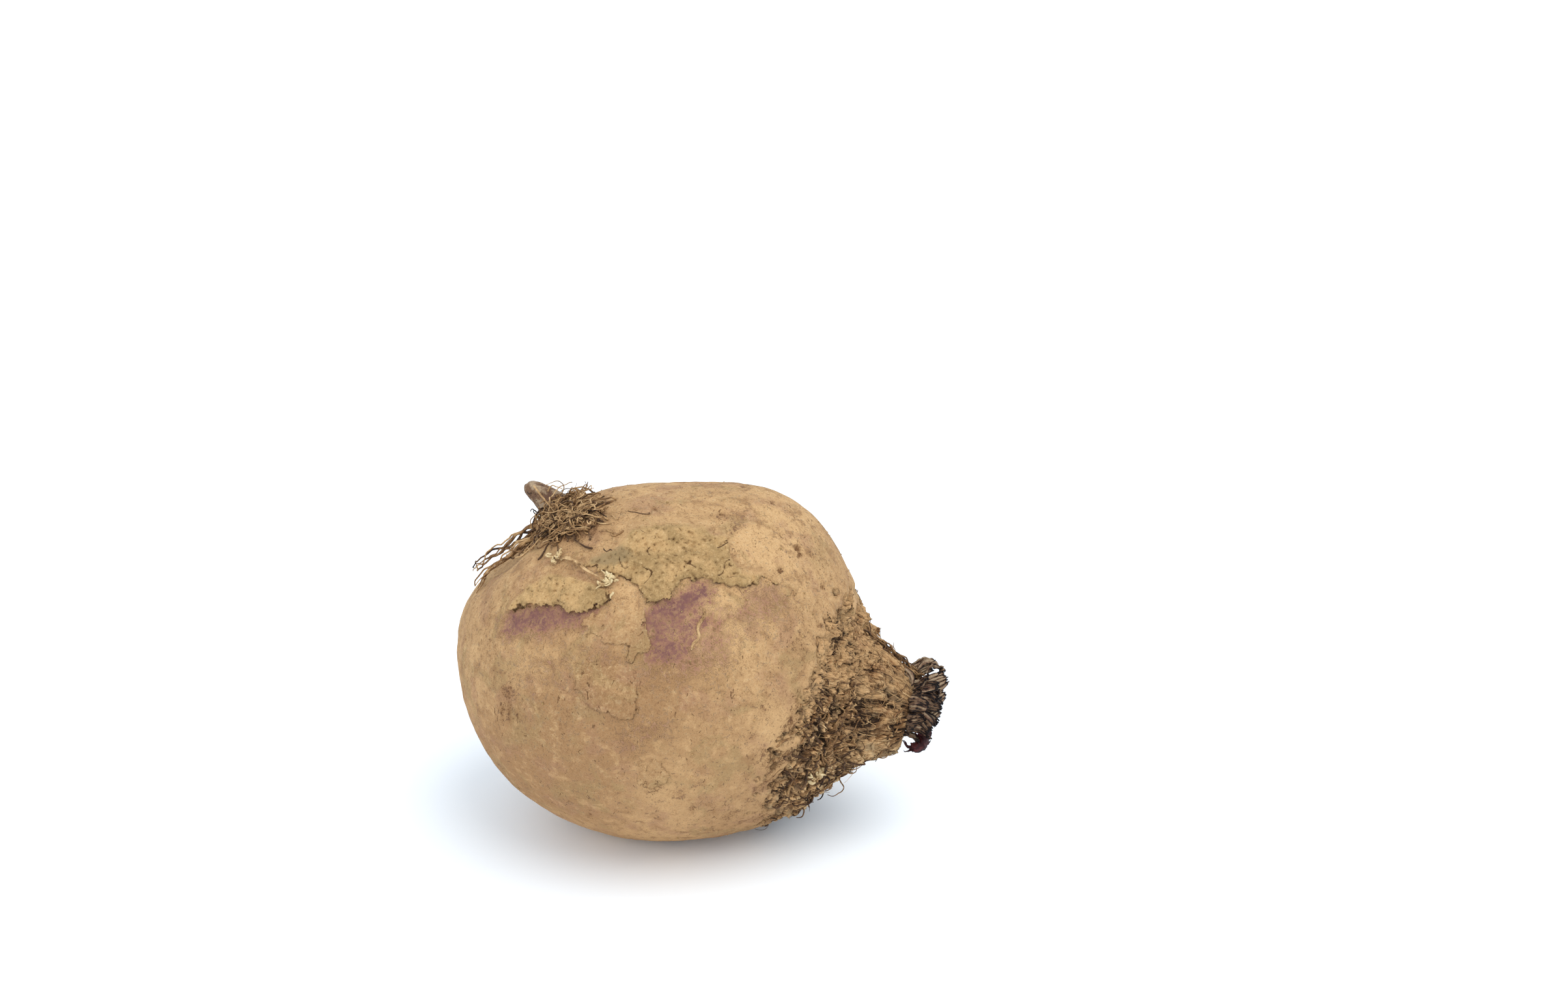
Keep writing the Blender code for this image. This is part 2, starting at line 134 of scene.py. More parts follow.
def apply_modifier(obj: Piece, kind: str, **settings: object) -> None:
    """Adds one modifier and applies it at once.

    Args:
        obj: the object.
        kind: the modifier's type.
        settings: its own settings.
    """
    only(obj)
    modifier = obj.modifiers.new(kind.lower(), kind)
    for name, value in settings.items():
        setattr(modifier, name, value)
    bpy.ops.object.modifier_apply(modifier=modifier.name)


def clean(obj: Piece, merge: float = 0.005 * MM) -> None:
    """Merges doubled vertices and turns every face outwards.

    Args:
        obj: a mesh object.
        merge: how near to each other vertices are merged.
    """
    only(obj)
    bpy.ops.object.mode_set(mode="EDIT")
    bpy.ops.mesh.select_all(action="SELECT")
    bpy.ops.mesh.remove_doubles(threshold=merge)
    bpy.ops.mesh.normals_make_consistent(inside=False)
    bpy.ops.object.mode_set(mode="OBJECT")


def joined(name: str, pieces: Sequence[Piece], kinds: Sequence = ()) -> Piece:
    """Joins mesh objects into one.

    Args:
        name: its name.
        pieces: the objects.
        kinds: other objects, which the pieces are copies of, and which go.

    Returns:
        The joined object.
    """
    for kind in kinds:
        bpy.data.objects.remove(kind)
    bpy.ops.object.select_all(action="DESELECT")
    for piece in pieces:
        piece.select_set(True)
    bpy.context.view_layer.objects.active = pieces[0]
    bpy.ops.object.join()
    pieces[0].name = pieces[0].data.name = name
    return pieces[0]


def finished(obj: Piece, finish: Material, stands_for: str = "") -> Piece:
    """Dresses a piece, smooths its shading and fixes it to the frame.

    Args:
        obj: the piece, with its place in its mesh.
        finish: its material.
        stands_for: the node of the frame that the piece replaces, if any.

    Returns:
        The same piece.
    """
    only(obj)
    bpy.ops.object.shade_smooth()
    obj.data.materials.clear()
    obj.data.materials.append(finish)
    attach(obj, BODY)
    if stands_for:
        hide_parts(stands_for)
    log.info("%s: %d faces", obj.name, len(obj.data.polygons))
    return obj


def jitter(draw: random.Random, spread: float = 1.0) -> Vector:
    """A random step, as likely one way as another."""
    return Vector([draw.gauss(0, spread) for _ in range(3)])


def copied(kind: Piece, place: Matrix) -> Piece:
    """Copies a piece with its own mesh.

    Args:
        kind: the piece that is copied.
        place: the matrix that turns, sizes and places the copy's mesh.

    Returns:
        The copy.
    """
    copy = kind.copy()
    copy.data = copy.data.copy()
    copy.data.transform(place)
    bpy.context.collection.objects.link(copy)
    return copy


class Grain:
    """Smooth noise that is read at many points at once and is the same each run."""

    def __init__(self, seed: int) -> None:
        """Draws the lattice from the seed.

        Args:
            seed: what the draw starts from.
        """
        draw = np.random.default_rng(seed)
        self.order = draw.permutation(256)
        slopes = draw.normal(size=(256, 3))
        self.slopes = slopes / np.linalg.norm(slopes, axis=1)[:, None]

    def __call__(self, places: np.ndarray, size: float = 1.0) -> np.ndarray:
        """Reads the noise.

        Args:
            places: points, one a row.
            size: the width of one lump of the noise, in the points' own unit.

        Returns:
            One value a point, from about -1 to 1.
        """
        scaled = places / size
        cell = np.floor(scaled).astype(int)
        inside = scaled - cell
        ease = inside**3 * (inside * (inside * 6 - 15) + 10)
        total = np.zeros(len(places))
        for corner in product((0, 1), repeat=3):
            key = np.zeros(len(places), int)
            for axis in range(3):
                key = self.order[(key + cell[:, axis] + corner[axis]) & 255]
            weight = np.prod(np.where(corner, ease, 1 - ease), axis=1)
            total += weight * ((inside - corner) * self.slopes[key]).sum(1)
        return total * 1.6

    def layered(self, places: np.ndarray, size: float, layers: int = 3) -> np.ndarray:
        """Adds finer and finer layers, each half as wide and half as high as the last."""
        return sum(self(places + 7.3 * layer, size / 2**layer) / 2**layer for layer in range(layers))

    def creased(self, places: np.ndarray, size: float) -> np.ndarray:
        """Sharp ridges: 1 on their crests and 0 between them."""
        return 1 - np.minimum(1, np.abs(self(places, size)) * 2.2)


# The form, as the solids have it


@dataclass(frozen=True)
class Sight:
    """One way to look at the root."""

    elevation_degrees: float = 26.05
    bearing_degrees: float = 3.75

    @cached_property
    def axes(self) -> np.ndarray:
        """The directions to the right, up, and near, one a row.

        Returns:
            Three unit directions.
        """
        bearing, elevation = math.radians(self.bearing_degrees), math.radians(self.elevation_degrees)
        right = np.array((math.cos(bearing), math.sin(bearing), 0))
        away = np.array((-math.sin(bearing), math.cos(bearing), 0))
        rise, level = math.sin(elevation), math.cos(elevation)
        up = away * rise + np.array((0, 0, level))
        near = -away * level + np.array((0, 0, rise))
        return np.array((right, up, near))

    def offset(self, *place: float) -> np.ndarray:
        """The step in metres from the root's centre to a sighted place."""
        return np.array(place) @ self.axes * MM

    def seen(self, steps: np.ndarray) -> np.ndarray:
        """The sighted places of steps in metres from the root's centre, one a row."""
        return steps @ self.axes.T / MM


SIGHT = Sight()


@dataclass(frozen=True)
class RootForm:
    """The swollen root's smooth form: the distance to its skin along any direction from its centre."""

    centre: tuple[float, float, float] = (-9.0 * MM, -0.1 * MM, 37.3 * MM)
    half_length: float = 44.5 * MM
    half_width: float = 38.2 * MM
    squareness: float = 1.91
    crown_turn: float = -13.7
    crown_near: float = 0.10
    neck_height: float = 13.7 * MM
    neck_spread: float = math.radians(14)
    neck_shape: float = 2.08
    crown_tip: float = 54.5 * MM
    flat_margin: float = 0.12 * MM
    lump_height: float = 0.7 * MM
    lump_size: float = 22 * MM
    # Turn from the sight's right hand, lean towards the eye, height in mm, and spread in degrees
    swellings: tuple[tuple[float, float, float, float], ...] = (
        (44, 0.15, 5.9, 28),
        (220, 0.0, 2.0, 34),
        (141.6, 0.15, -5.1, 14.6),
        (-49, 0.0, 2.0, 20),
    )
    tail: tuple[tuple[float, float, float], ...] = (
        (-15.0, 25.0, -1.0),
        (-19.5, 30.2, 2.0),
        (-23.0, 34.0, 4.2),
        (-26.0, 36.6, 5.2),
        (-28.9, 38.4, 6.0),
    )
    tail_radii: tuple[float, ...] = (8.5 * MM, 5.6 * MM, 3.3 * MM, 2.3 * MM, 1.3 * MM)
    tail_flare: tuple[float, ...] = (8.8 * MM, 5.2 * MM, 1.6 * MM)
    flare_blend: float = 4.0 * MM

    @staticmethod
    def direction(turn_degrees: float, near: float) -> np.ndarray:
        """The unit direction at a turn from the sight's right hand, leaning towards the eye by near.

        Args:
            turn_degrees: the turn from the sight's right hand.
            near: the lean towards the eye.

        Returns:
            The unit direction.
        """
        turn, level = math.radians(turn_degrees), math.sqrt(1 - near * near)
        step = SIGHT.offset(math.cos(turn) * level, math.sin(turn) * level, near)
        return step / np.linalg.norm(step)

    @cached_property
    def middle(self) -> np.ndarray:
        """The root's centre."""
        return np.array(self.centre)

    def point(self, *place: float) -> Vector:
        """The point in the row frame at a sighted place."""
        return Vector(self.centre) + Vector(SIGHT.offset(*place))

    @cached_property
    def crown_axis(self) -> np.ndarray:
        """The direction from the centre to the crown's tip."""
        return self.direction(self.crown_turn, self.crown_near)

    @cached_property
    def crown_turned(self) -> np.ndarray:
        """The matrix that turns a crown along +Z to where the crown is."""
        return np.array(Vector(self.crown_axis).to_track_quat("Z", "Y").to_matrix())

    def angle_from(self, directions: np.ndarray, axis: np.ndarray) -> np.ndarray:
        """The angle of each unit direction from an axis, in radians."""
        return np.arccos(np.clip(directions @ axis, -1, 1))

    def radius(self, directions: np.ndarray) -> np.ndarray:
        """The distance to the smooth skin along unit directions in rows.

        Args:
            directions: unit directions, one a row.

        Returns:
            One distance a row, in metres.
        """
        along = directions @ self.crown_axis
        across = np.sqrt(np.maximum(0, 1 - along**2))
        barrel = np.abs(along / self.half_length) ** self.squareness
        barrel += (across / self.half_width) ** self.squareness
        radius = barrel ** (-1 / self.squareness)
        from_crown = self.angle_from(directions, self.crown_axis)
        radius += self.neck_height * np.exp(-((from_crown / self.neck_spread) ** self.neck_shape))
        for turn, near, height, spread in self.swellings:
            off = self.angle_from(directions, self.direction(turn, near)) / math.radians(spread)
            radius += height * MM * np.exp(-(off**2))
        return radius

    def lumps(self, directions: np.ndarray) -> np.ndarray:
        """The height of the skin's gentle lumps along unit directions."""
        scale = self.half_width / self.lump_size
        return self.lump_height * np.array([noise.noise(Vector(row) * scale) for row in directions])

    def on_skin(self, sight: Sight, across: np.ndarray, lift: np.ndarray | float) -> np.ndarray:
        """The points of the near skin at sighted (right, up) places in rows, lifted off it.

        Args:
            sight: the way that the places are seen.
            across: the (right, up) places in millimetres, one a row.
            lift: how far off the smooth form the points are, in metres.

        Returns:
            The points in the row frame, one a row.
        """
        near = np.full(len(across), 30.0)
        for _ in range(12):
            steps = np.column_stack((across, near)) @ sight.axes
            directions = steps / np.linalg.norm(steps, axis=1)[:, None]
            reach = (self.radius(directions) + self.lumps(directions) + lift) / MM
            near = np.sqrt(np.maximum(1.0, reach**2 - (across**2).sum(1)))
        return self.middle + np.column_stack((across, near)) @ sight.axes * MM

    def flattened(self, points: np.ndarray) -> np.ndarray:
        """Draws points onto the crown's cut tip and the surface that the root rests on.

        Args:
            points: points in the row frame, one a row.

        Returns:
            The points where they end up.
        """
        past = (points - self.middle) @ self.crown_axis - self.crown_tip
        points = points - np.outer(np.where(past > -self.flat_margin, past, 0), self.crown_axis)
        points[:, 2] = np.where(points[:, 2] < self.flat_margin, 0, points[:, 2])
        return points

    def tail_line(self) -> np.ndarray:
        """The tail's middle line in the row frame, one point a row."""
        return self.middle + np.array([SIGHT.offset(*place) for place in self.tail])

    def flare_gap(self, points: np.ndarray) -> np.ndarray:
        """How far points are outside the tail's flared foot.

        Args:
            points: points in the row frame, one a row.

        Returns:
            One distance a row, less than 0 inside.
        """
        line, gap = self.tail_line(), np.full(len(points), 1.0)
        for index in range(len(self.tail_flare) - 1):
            start, run = line[index], line[index + 1] - line[index]
            share = np.clip((points - start) @ run / (run @ run), 0, 1)
            wide = self.tail_flare[index] * (1 - share) + self.tail_flare[index + 1] * share
            gap = np.minimum(gap, np.linalg.norm(points - start - share[:, None] * run, axis=1) - wide)
        return gap

    def with_flare(self, directions: np.ndarray, radii: np.ndarray) -> np.ndarray:
        """The distances to the skin, grown where it runs smoothly into the tail's foot.

        Args:
            directions: unit directions, one a row.
            radii: the distances to the smooth skin along them.

        Returns:
            The grown distances.
        """
        line = self.tail_line()
        towards = line[1] - self.middle
        near = np.flatnonzero(directions @ (towards / np.linalg.norm(towards)) > math.cos(math.radians(32)))
        grown, found = radii[near].copy(), np.zeros(len(near), bool)
        for step in np.arange(-1.5 * MM, 14 * MM, 0.12 * MM):
            reach = radii[near] + step
            gap = self.flare_gap(self.middle + directions[near] * reach[:, None])
            share = np.clip(0.5 + 0.5 * (gap - step) / self.flare_blend, 0, 1)
            blended = gap * (1 - share) + step * share - self.flare_blend * share * (1 - share)
            grown = np.where(found, grown, reach)
            found |= blended > 0
        result = radii.copy()
        result[near] = np.maximum(radii[near], grown)
        return result


FORM = RootForm()


@dataclass(frozen=True)
class Scars:
    """The collars that the leaves left round the crown, their torn edges facing its tip."""

    edges: tuple[float, ...] = (8.8, 12.0, 15.4, 19.0, 23.0, 27.6, 33.0)
    heights: tuple[float, ...] = (1.3 * MM, 1.7 * MM, 2.0 * MM, 2.0 * MM, 1.8 * MM, 1.4 * MM, 0.9 * MM)
    last: float = 39.0
    row_places: tuple[float, ...] = (0, 0.16, 0.6)
    row_shares: tuple[float, ...] = (0, 1, 0.55)
    wander: float = 2.4
    wander_scale: float = 1.4
    tear: float = 1.5
    tear_scale: float = 6
    flap_share: float = 0.35
    flap_contrast: float = 1.5
    flap_scale: float = 1.9

    def wandered(self, scar: int, angle: float, share: float, turn: float) -> float:
        """How far in degrees a scar's edge wanders from its angle, at a turn round the crown.

        Args:
            scar: the scar's number, from the crown's tip.
            angle: the row's even angle in degrees.
            share: the row's share of the scar's height.
            turn: the turn round the crown.

        Returns:
            The step away from the even angle.
        """
        place = Vector((math.cos(turn), math.sin(turn), angle / 28))
        torn = Vector((math.cos(turn), math.sin(turn), scar * 1.22))
        tear = self.tear * noise.noise(torn * self.tear_scale)
        return self.wander * noise.noise(place * self.wander_scale) + tear * (0.5 if 0 < share < 1 else 1)

    def flap(self, scar: int, turn: float) -> float:
        """The share of its height that a scar has at a turn round the crown."""
        place = Vector((math.cos(turn), math.sin(turn), scar * 3.7)) * self.flap_scale
        return min(1, max(0.1, self.flap_share + self.flap_contrast * noise.noise(place)))

    def rows(self) -> list[tuple[float, int, float]]:
        """Each row's angle from the crown's axis, its scar, and the share of the scar's height it has.

        Returns:
            The rows in order from the tip.
        """
        rows = []
        for scar, (edge, following) in enumerate(zip(self.edges, (*self.edges[1:], self.last))):
            places = [edge + place * (following - edge) for place in self.row_places]
            rows += [(place, scar, share) for place, share in zip(places, self.row_shares)]
        return rows

    def relief(self, angles: np.ndarray, turn: float) -> tuple[np.ndarray, np.ndarray]:
        """The scars' relief down one meridian.

        Args:
            angles: the even angles from the crown's axis that the mesh has, in degrees.
            turn: the meridian's turn round the crown, in radians.

        Returns:
            The wandered angles in degrees, and the relief's height at each.
        """
        rows = self.rows()
        shift = [self.wandered(scar, angle, share, turn) for angle, scar, share in rows]
        height = [self.heights[scar] * share * self.flap(scar, turn) for _, scar, share in rows]
        even = [0, 5.2, *[angle for angle, _, _ in rows], self.last, 180]
        shifts = np.interp(angles, even, [0, 0, *shift, 0, 0])
        return angles + shifts, np.interp(angles, even, [0, 0, *height, 0, 0])


SCARS = Scars()


# The finishes


class Board:
    """A node tree that is filled one node at a time."""

    def __init__(self, tree: Tree) -> None:
        """Starts on an empty or standard tree."""
        self.tree = tree

    def add(self, kind: str, inputs: dict | None = None, **settings: object) -> Node:
        """Adds a node.

        Args:
            kind: the node's type, without the ShaderNode that it begins with.
            inputs: a value, or a socket to link, for each input by name or number.
            settings: the node's own settings.

        Returns:
            The node.
        """
        node = self.tree.nodes.new("ShaderNode" + kind)
        for name, value in settings.items():
            setattr(node, name, value)
        self.fill(node, inputs or {})
        return node

    def fill(self, node: Node, inputs: dict) -> None:
        """Sets or links a node's inputs.

        Args:
            node: the node.
            inputs: a value, or a socket to link, for each input by name or number.
        """
        for name, value in inputs.items():
            if isinstance(value, Socket):
                self.tree.links.new(value, node.inputs[name])
            else:
                node.inputs[name].default_value = value

    def use(self, group: Tree, **inputs: object) -> bpy.types.bpy_prop_collection:
        """Places a node group with its own values, and returns its outputs.

        Args:
            group: the node group.
            inputs: a value or a socket for each of its inputs.

        Returns:
            Its outputs.
        """
        node = self.tree.nodes.new("ShaderNodeGroup")
        node.node_tree = group
        self.fill(node, inputs)
        return node.outputs

    def noise(self, place: Socket, size_mm: float, detail: float = 3, **inputs: float) -> Socket:
        """A noise with lumps of that size in millimetres, from about 0.25 to 0.75."""
        values = {"Vector": place, "Scale": 1 / size_mm, "Detail": detail, **inputs}
        return self.add("TexNoise", values).outputs[0]

    def ramp(self, value: Socket, low: float, high: float, to_low: float = 0, to_high: float = 1) -> Socket:
        """Rises smoothly between two values of its input."""
        values = {"Value": value, "From Min": low, "From Max": high, "To Min": to_low, "To Max": to_high}
        return self.add("MapRange", values, interpolation_type="SMOOTHSTEP").outputs[0]

    def sum(self, operation: str, *values: object) -> Socket:
        """One step of arithmetic on one, two or three values or sockets."""
        return self.add("Math", dict(enumerate(values)), operation=operation).outputs[0]

    def mix(self, factor: object, under: object, over: object, blend: str = "MIX") -> Socket:
        """Lays one colour over another by a factor."""
        values = {0: factor, 6: under, 7: over}
        return self.add("Mix", values, data_type="RGBA", blend_type=blend).outputs[2]

    def layer(self, colour: object, over: object, mask: object, low: float, high: float, most: float = 1.0,
              least: float = 0.0) -> Socket:
        """Lays a colour over another as a mask rises.

        Args:
            colour, over: the colours below and above.
            mask: the mask's socket.
            low, high: the mask's values where the upper colour starts and where it is at its most.
            most, least: how much of the upper colour there is at high and at low.

        Returns:
            The colour's socket.
        """
        return self.mix(self.ramp(mask, low, high, least, most), colour, over)

    def attribute(self, name: str) -> Socket:
        """The number stored at the vertices under that name."""
        return self.add("Attribute", attribute_name=name).outputs["Fac"]

    def place_mm(self) -> Socket:
        """The surface's own place in millimetres."""
        place = self.add("TexCoord").outputs["Object"]
        return self.add("Mapping", {"Vector": place, "Scale": (1 / MM, 1 / MM, 1 / MM)}).outputs[0]


def group_of(name: str, inputs: dict[str, str], outputs: dict[str, str]) -> tuple[Board, dict, Node]:
    """A new shader node group.

    Args:
        name: the group's name.
        inputs: each input's name and the kind of its socket.
        outputs: the same for the outputs.

    Returns:
        The board to fill, the group's inputs by name, and its output node.
    """
    tree = bpy.data.node_groups.new(name, "ShaderNodeTree")
    for sockets, direction in ((inputs, "INPUT"), (outputs, "OUTPUT")):
        for socket, kind in sockets.items():
            tree.interface.new_socket(socket, in_out=direction, socket_type="NodeSocket" + kind)
    board = Board(tree)
    entry = tree.nodes.new("NodeGroupInput")
    return board, {name: entry.outputs[name] for name in inputs}, tree.nodes.new("NodeGroupOutput")


@dataclass(frozen=True)
class SoilGrain:
    """The grain that soil dries with: fine grit, clods, mottling and sparse dark flecks."""

    grit_mm: float = 0.32
    clod_mm: float = 0.95
    mottle_mm: float = 2.8
    fleck_mm: float = 1.7
    fleck_squash: float = 1.1

    def group(self) -> Tree:
        """The node group, which puts out the grit, the mottling, the flecks and a height.

        Returns:
            The node group.
        """
        kinds = {name: "Float" for name in ("Grit", "Mottle", "Flecks", "Height")}
        board, given, out = group_of("soil_grain", {"Place": "Vector", "Coarseness": "Float"}, kinds)
        halves = {0: given["Place"], 1: given["Coarseness"]}
        spread = board.add("VectorMath", halves, operation="DIVIDE").outputs[0]
        fine = board.noise(spread, self.grit_mm, 3, Roughness=0.75)
        clods = board.noise(spread, self.clod_mm, 3, Roughness=0.6, Distortion=0.6)
        grit = board.sum("MULTIPLY_ADD", clods, 0.5, board.sum("MULTIPLY", fine, 0.5))
        mottle = board.noise(spread, self.mottle_mm, 4, Roughness=0.62, Distortion=0.4)
        axis = tuple(FORM.crown_axis)
        along = board.add("VectorMath", {0: spread, 1: axis}, operation="DOT_PRODUCT").outputs["Value"]
        squash = {0: axis, 3: board.sum("MULTIPLY", along, self.fleck_squash)}
        squashed = board.add("VectorMath", squash, operation="SCALE").outputs[0]
        squashed = board.add("VectorMath", {0: spread, 1: squashed}).outputs[0]
        flecks = board.ramp(board.noise(squashed, self.fleck_mm, 3, Distortion=1.2), 0.675, 0.75)
        height = board.sum("MULTIPLY_ADD", grit, 0.9, board.sum("MULTIPLY", mottle, 0.55))
        height = board.sum("MULTIPLY_ADD", flecks, -0.35, height)
        board.fill(out, dict(zip(kinds, (grit, mottle, flecks, height))))
        return board.tree


@dataclass(frozen=True)
class Dust:
    """The pale dry soil that covers the whole root thinly."""

    light: tuple = linear(214, 171, 121)
    deep: tuple = linear(172, 131, 90)
    pink: tuple = linear(172, 128, 98)
    olive: tuple = linear(168, 137, 93)
    grit_dark: tuple = linear(100, 68, 43)
    grit_pale: tuple = linear(244, 212, 162)
    stain: tuple = linear(104, 66, 36)

    def group(self, grain: Tree) -> Tree:
        """The node group, which puts out the dust's colour, its height, and a fray for ragged borders.

        Args:
            grain: the shared soil grain.

        Returns:
            The node group.
        """
        kinds = {"Colour": "Color", "Height": "Float", "Fray": "Float"}
        sockets = {"Place": "Vector", "Tint": "Float", "Stain": "Float", "Calm": "Float"}
        board, given, out = group_of("dust", sockets, kinds)
        place = given["Place"]
        rough = board.sum("MULTIPLY_ADD", given["Calm"], -0.5, 1.0)
        grains = board.use(grain, Place=place, Coarseness=1.0)
        # the tint darkens the dust, and brings the skin's painted shade and painted light with it
        broad = board.sum("ADD", board.ramp(board.noise(place, 24, 2), 0.36, 0.64, 0, 0.5), given["Tint"])
        colour = board.mix(broad, self.light, self.deep)
        colour = board.layer(colour, self.pink, board.noise(place, 6.5, 4), 0.50, 0.66, 0.5)
        colour = board.layer(colour, self.olive, board.noise(place, 9.5, 4, Distortion=1), 0.53, 0.66, 0.55)
        colour = board.layer(colour, self.deep, grains["Mottle"], 0.51, 0.66, 0.75)
        colour = board.layer(colour, self.light, grains["Mottle"], 0.47, 0.33, 0.4)
        pale = board.sum("MULTIPLY", board.ramp(grains["Grit"], 0.51, 0.66, 0, 0.5), rough)
        colour = board.mix(pale, colour, self.grit_pale)
        dark = board.sum("MULTIPLY", board.ramp(grains["Grit"], 0.50, 0.33, 0, 0.62), rough)
        colour = board.mix(dark, colour, self.grit_dark)
        colour = board.mix(board.sum("MULTIPLY", grains["Flecks"], 0.7), colour, self.stain)
        fray = board.sum("MULTIPLY_ADD", grains["Mottle"], 0.8, -1.10)
        fray = board.sum("MULTIPLY_ADD", grains["Grit"], 3.0, fray)
        # the stain input darkens the dust, also where the skin's marks paint shade
        soaked = board.ramp(board.sum("ADD", fray, given["Stain"]), 0.98, 1.62, 0, 0.88)
        colour = board.mix(soaked, colour, self.stain)
        board.fill(out, dict(zip(kinds, (colour, grains["Height"], fray))))
        return board.tree


@dataclass(frozen=True)
class GroovedLines:
    """Fine lines drawn out along one direction, as on dry fibres and ribs."""

    def group(self) -> Tree:
        """The node group, which puts out dark and pale streaks and their height.

        Returns:
            The node group.
        """
        kinds = {"Streaks": "Float", "Height": "Float"}
        board, given, out = group_of("grooved_lines", {"Place": "Vector", "Size": "Float"}, kinds)
        spread = board.add("VectorMath", {0: given["Place"], 1: given["Size"]}, operation="DIVIDE").outputs[0]
        broad = board.noise(spread, 1.0, 2, Distortion=0.4)
        fine = board.noise(spread, 0.36, 2)
        both = board.sum("MULTIPLY_ADD", fine, 0.5, board.sum("MULTIPLY", broad, 0.5))
        streaks = board.ramp(both, 0.36, 0.64)
        board.fill(out, {"Streaks": streaks, "Height": streaks})
        return board.tree


def new_material(name: str) -> tuple[Material, Board, Node]:
    """An empty material, its board, and its shader.

    Args:
        name: its name.

    Returns:
        The three of them.
    """
    material = bpy.data.materials.new(name)
    material.use_nodes = True
    return material, Board(material.node_tree), material.node_tree.nodes["Principled BSDF"]


def wire(board: Board, shader: Node, colour: object, roughness: object, bump: tuple) -> None:
    """Joins the colour, the roughness and a bump to the shader.

    Args:
        board: the material's board.
        shader: its shader.
        colour: a socket.
        roughness: a socket or a number.
        bump: the socket with the height, and how high 1 of it is, in metres.
    """
    shaded = board.add("VectorMath", {0: colour, 3: SHADE}, operation="SCALE").outputs[0]
    relief = board.add("Bump", {"Height": bump[0], "Distance": bump[1], "Strength": 1.0}).outputs[0]
    sockets = {"Base Color": shaded, "Roughness": roughness, "Specular IOR Level": SPECULAR, "Normal": relief}
    board.fill(shader, sockets)


@dataclass(frozen=True)
class SkinFinish:
    """Pale dust over dull purple skin."""

    purple: tuple = linear(156, 108, 90)
    purple_deep: tuple = linear(118, 76, 76)
    bump: float = 0.42 * MM

    def build(self, dust: Tree) -> Material:
        """The material, over the shared dust.

        Args:
            dust: the shared dust.

        Returns:
            The material.
        """
        material, board, shader = new_material("dusty_skin")
        place = board.place_mm()
        # the marks carry the dust's tint and stains, with their painted shade and painted light
        marks = {name.title(): board.attribute(name) for name in ("tint", "stain", "calm")}
        cover = board.use(dust, Place=place, **marks)
        bareness = board.sum("MULTIPLY_ADD", cover["Fray"], 0.95, board.attribute("bare"))
        bare = board.ramp(bareness, 0.90, 1.62, 0, 0.95)
        depth = board.sum("MULTIPLY_ADD", board.noise(place, 1.3, 4), 0.9, board.attribute("bare"))
        purple = board.layer(self.purple, self.purple_deep, depth, 0.75, 1.35)
        colour = board.mix(bare, cover["Colour"], purple)
        ledge = board.ramp(bareness, 1.02, 1.10, 1, 0)
        height = board.sum("MULTIPLY_ADD", ledge, 0.35, cover["Height"])
        wire(board, shader, colour, board.ramp(bare, 0, 1, 0.93, 0.72), (height, self.bump))
        return material


@dataclass(frozen=True)
class CrownFinish:
    """Dusty torn fibre: brown, with painted shade near black in its crevices and on its lower side, and tan
    and straw on its raised shreds, partly painted light.
    """

    crevice: tuple = linear(50, 33, 22)
    brown: tuple = linear(162, 116, 74)
    tan: tuple = linear(212, 166, 115)
    straw: tuple = linear(240, 202, 150)
    grey: tuple = linear(148, 122, 91)
    lower_shade_brown: tuple = linear(98, 70, 47)
    roughness: float = 0.92
    bump: float = 0.40 * MM

    def build(self, dust: Tree, lines: Tree) -> Material:
        """The material, over the shared dust and grooves.

        Args:
            dust: the shared dust.
            lines: the shared grooves.

        Returns:
            The material.
        """
        material, board, shader = new_material("torn_crown")
        place = board.place_mm()
        cover = board.use(dust, Place=place, Tint=0.1, Stain=0.05)
        drawn_out = board.add("Attribute", attribute_name="crown_place").outputs["Vector"]
        streaks = board.use(lines, Place=drawn_out, Size=1.0)["Streaks"]
        tone = board.sum("MULTIPLY_ADD", streaks, 0.14, board.attribute("raised"))
        tone = board.sum("MULTIPLY_ADD", board.noise(place, 0.9, 5, Roughness=0.7), 1.1, tone)
        middle = board.layer(self.brown, self.grey, board.noise(place, 5, 3), 0.46, 0.6, 0.7)
        # tan and straw on the raised shreds, partly painted light
        colour = board.layer(middle, self.tan, tone, 0.98, 1.20, 0.95)
        colour = board.layer(colour, self.straw, tone, 1.26, 1.52, 0.75)
        colour = board.layer(colour, self.grey, board.noise(place, 4.2, 3), 0.50, 0.62, 0.7)
        # painted shade on the crown's lower side, where the tone is low
        lower_shade = board.sum("MULTIPLY", board.attribute("lower_shade"), board.ramp(tone, 1.22, 0.98))
        colour = board.mix(lower_shade, colour, self.lower_shade_brown)
        # dust film on the upper side, lightened there as painted light too
        tone = board.sum("MULTIPLY_ADD", board.attribute("dusty"), 0.13, tone)
        coat = board.sum("MULTIPLY", board.attribute("dusty"), board.ramp(tone, 0.74, 0.98))
        film = board.layer(cover["Colour"], self.tan, tone, 0.85, 1.25, 0.65, 0.1)
        colour = board.mix(coat, colour, film)
        # painted shade, near black, in the crevices and hollows
        colour = board.layer(colour, self.crevice, tone, 0.86, 0.66, 0.96)
        torn = board.ramp(board.sum("MULTIPLY_ADD", cover["Fray"], 0.8, board.attribute("crown")), 0.92, 1.5)
        colour = board.mix(torn, cover["Colour"], colour)
        height = board.sum("MULTIPLY_ADD", streaks, board.sum("MULTIPLY", torn, 0.7), cover["Height"])
        wire(board, shader, colour, self.roughness, (height, self.bump))
        return material


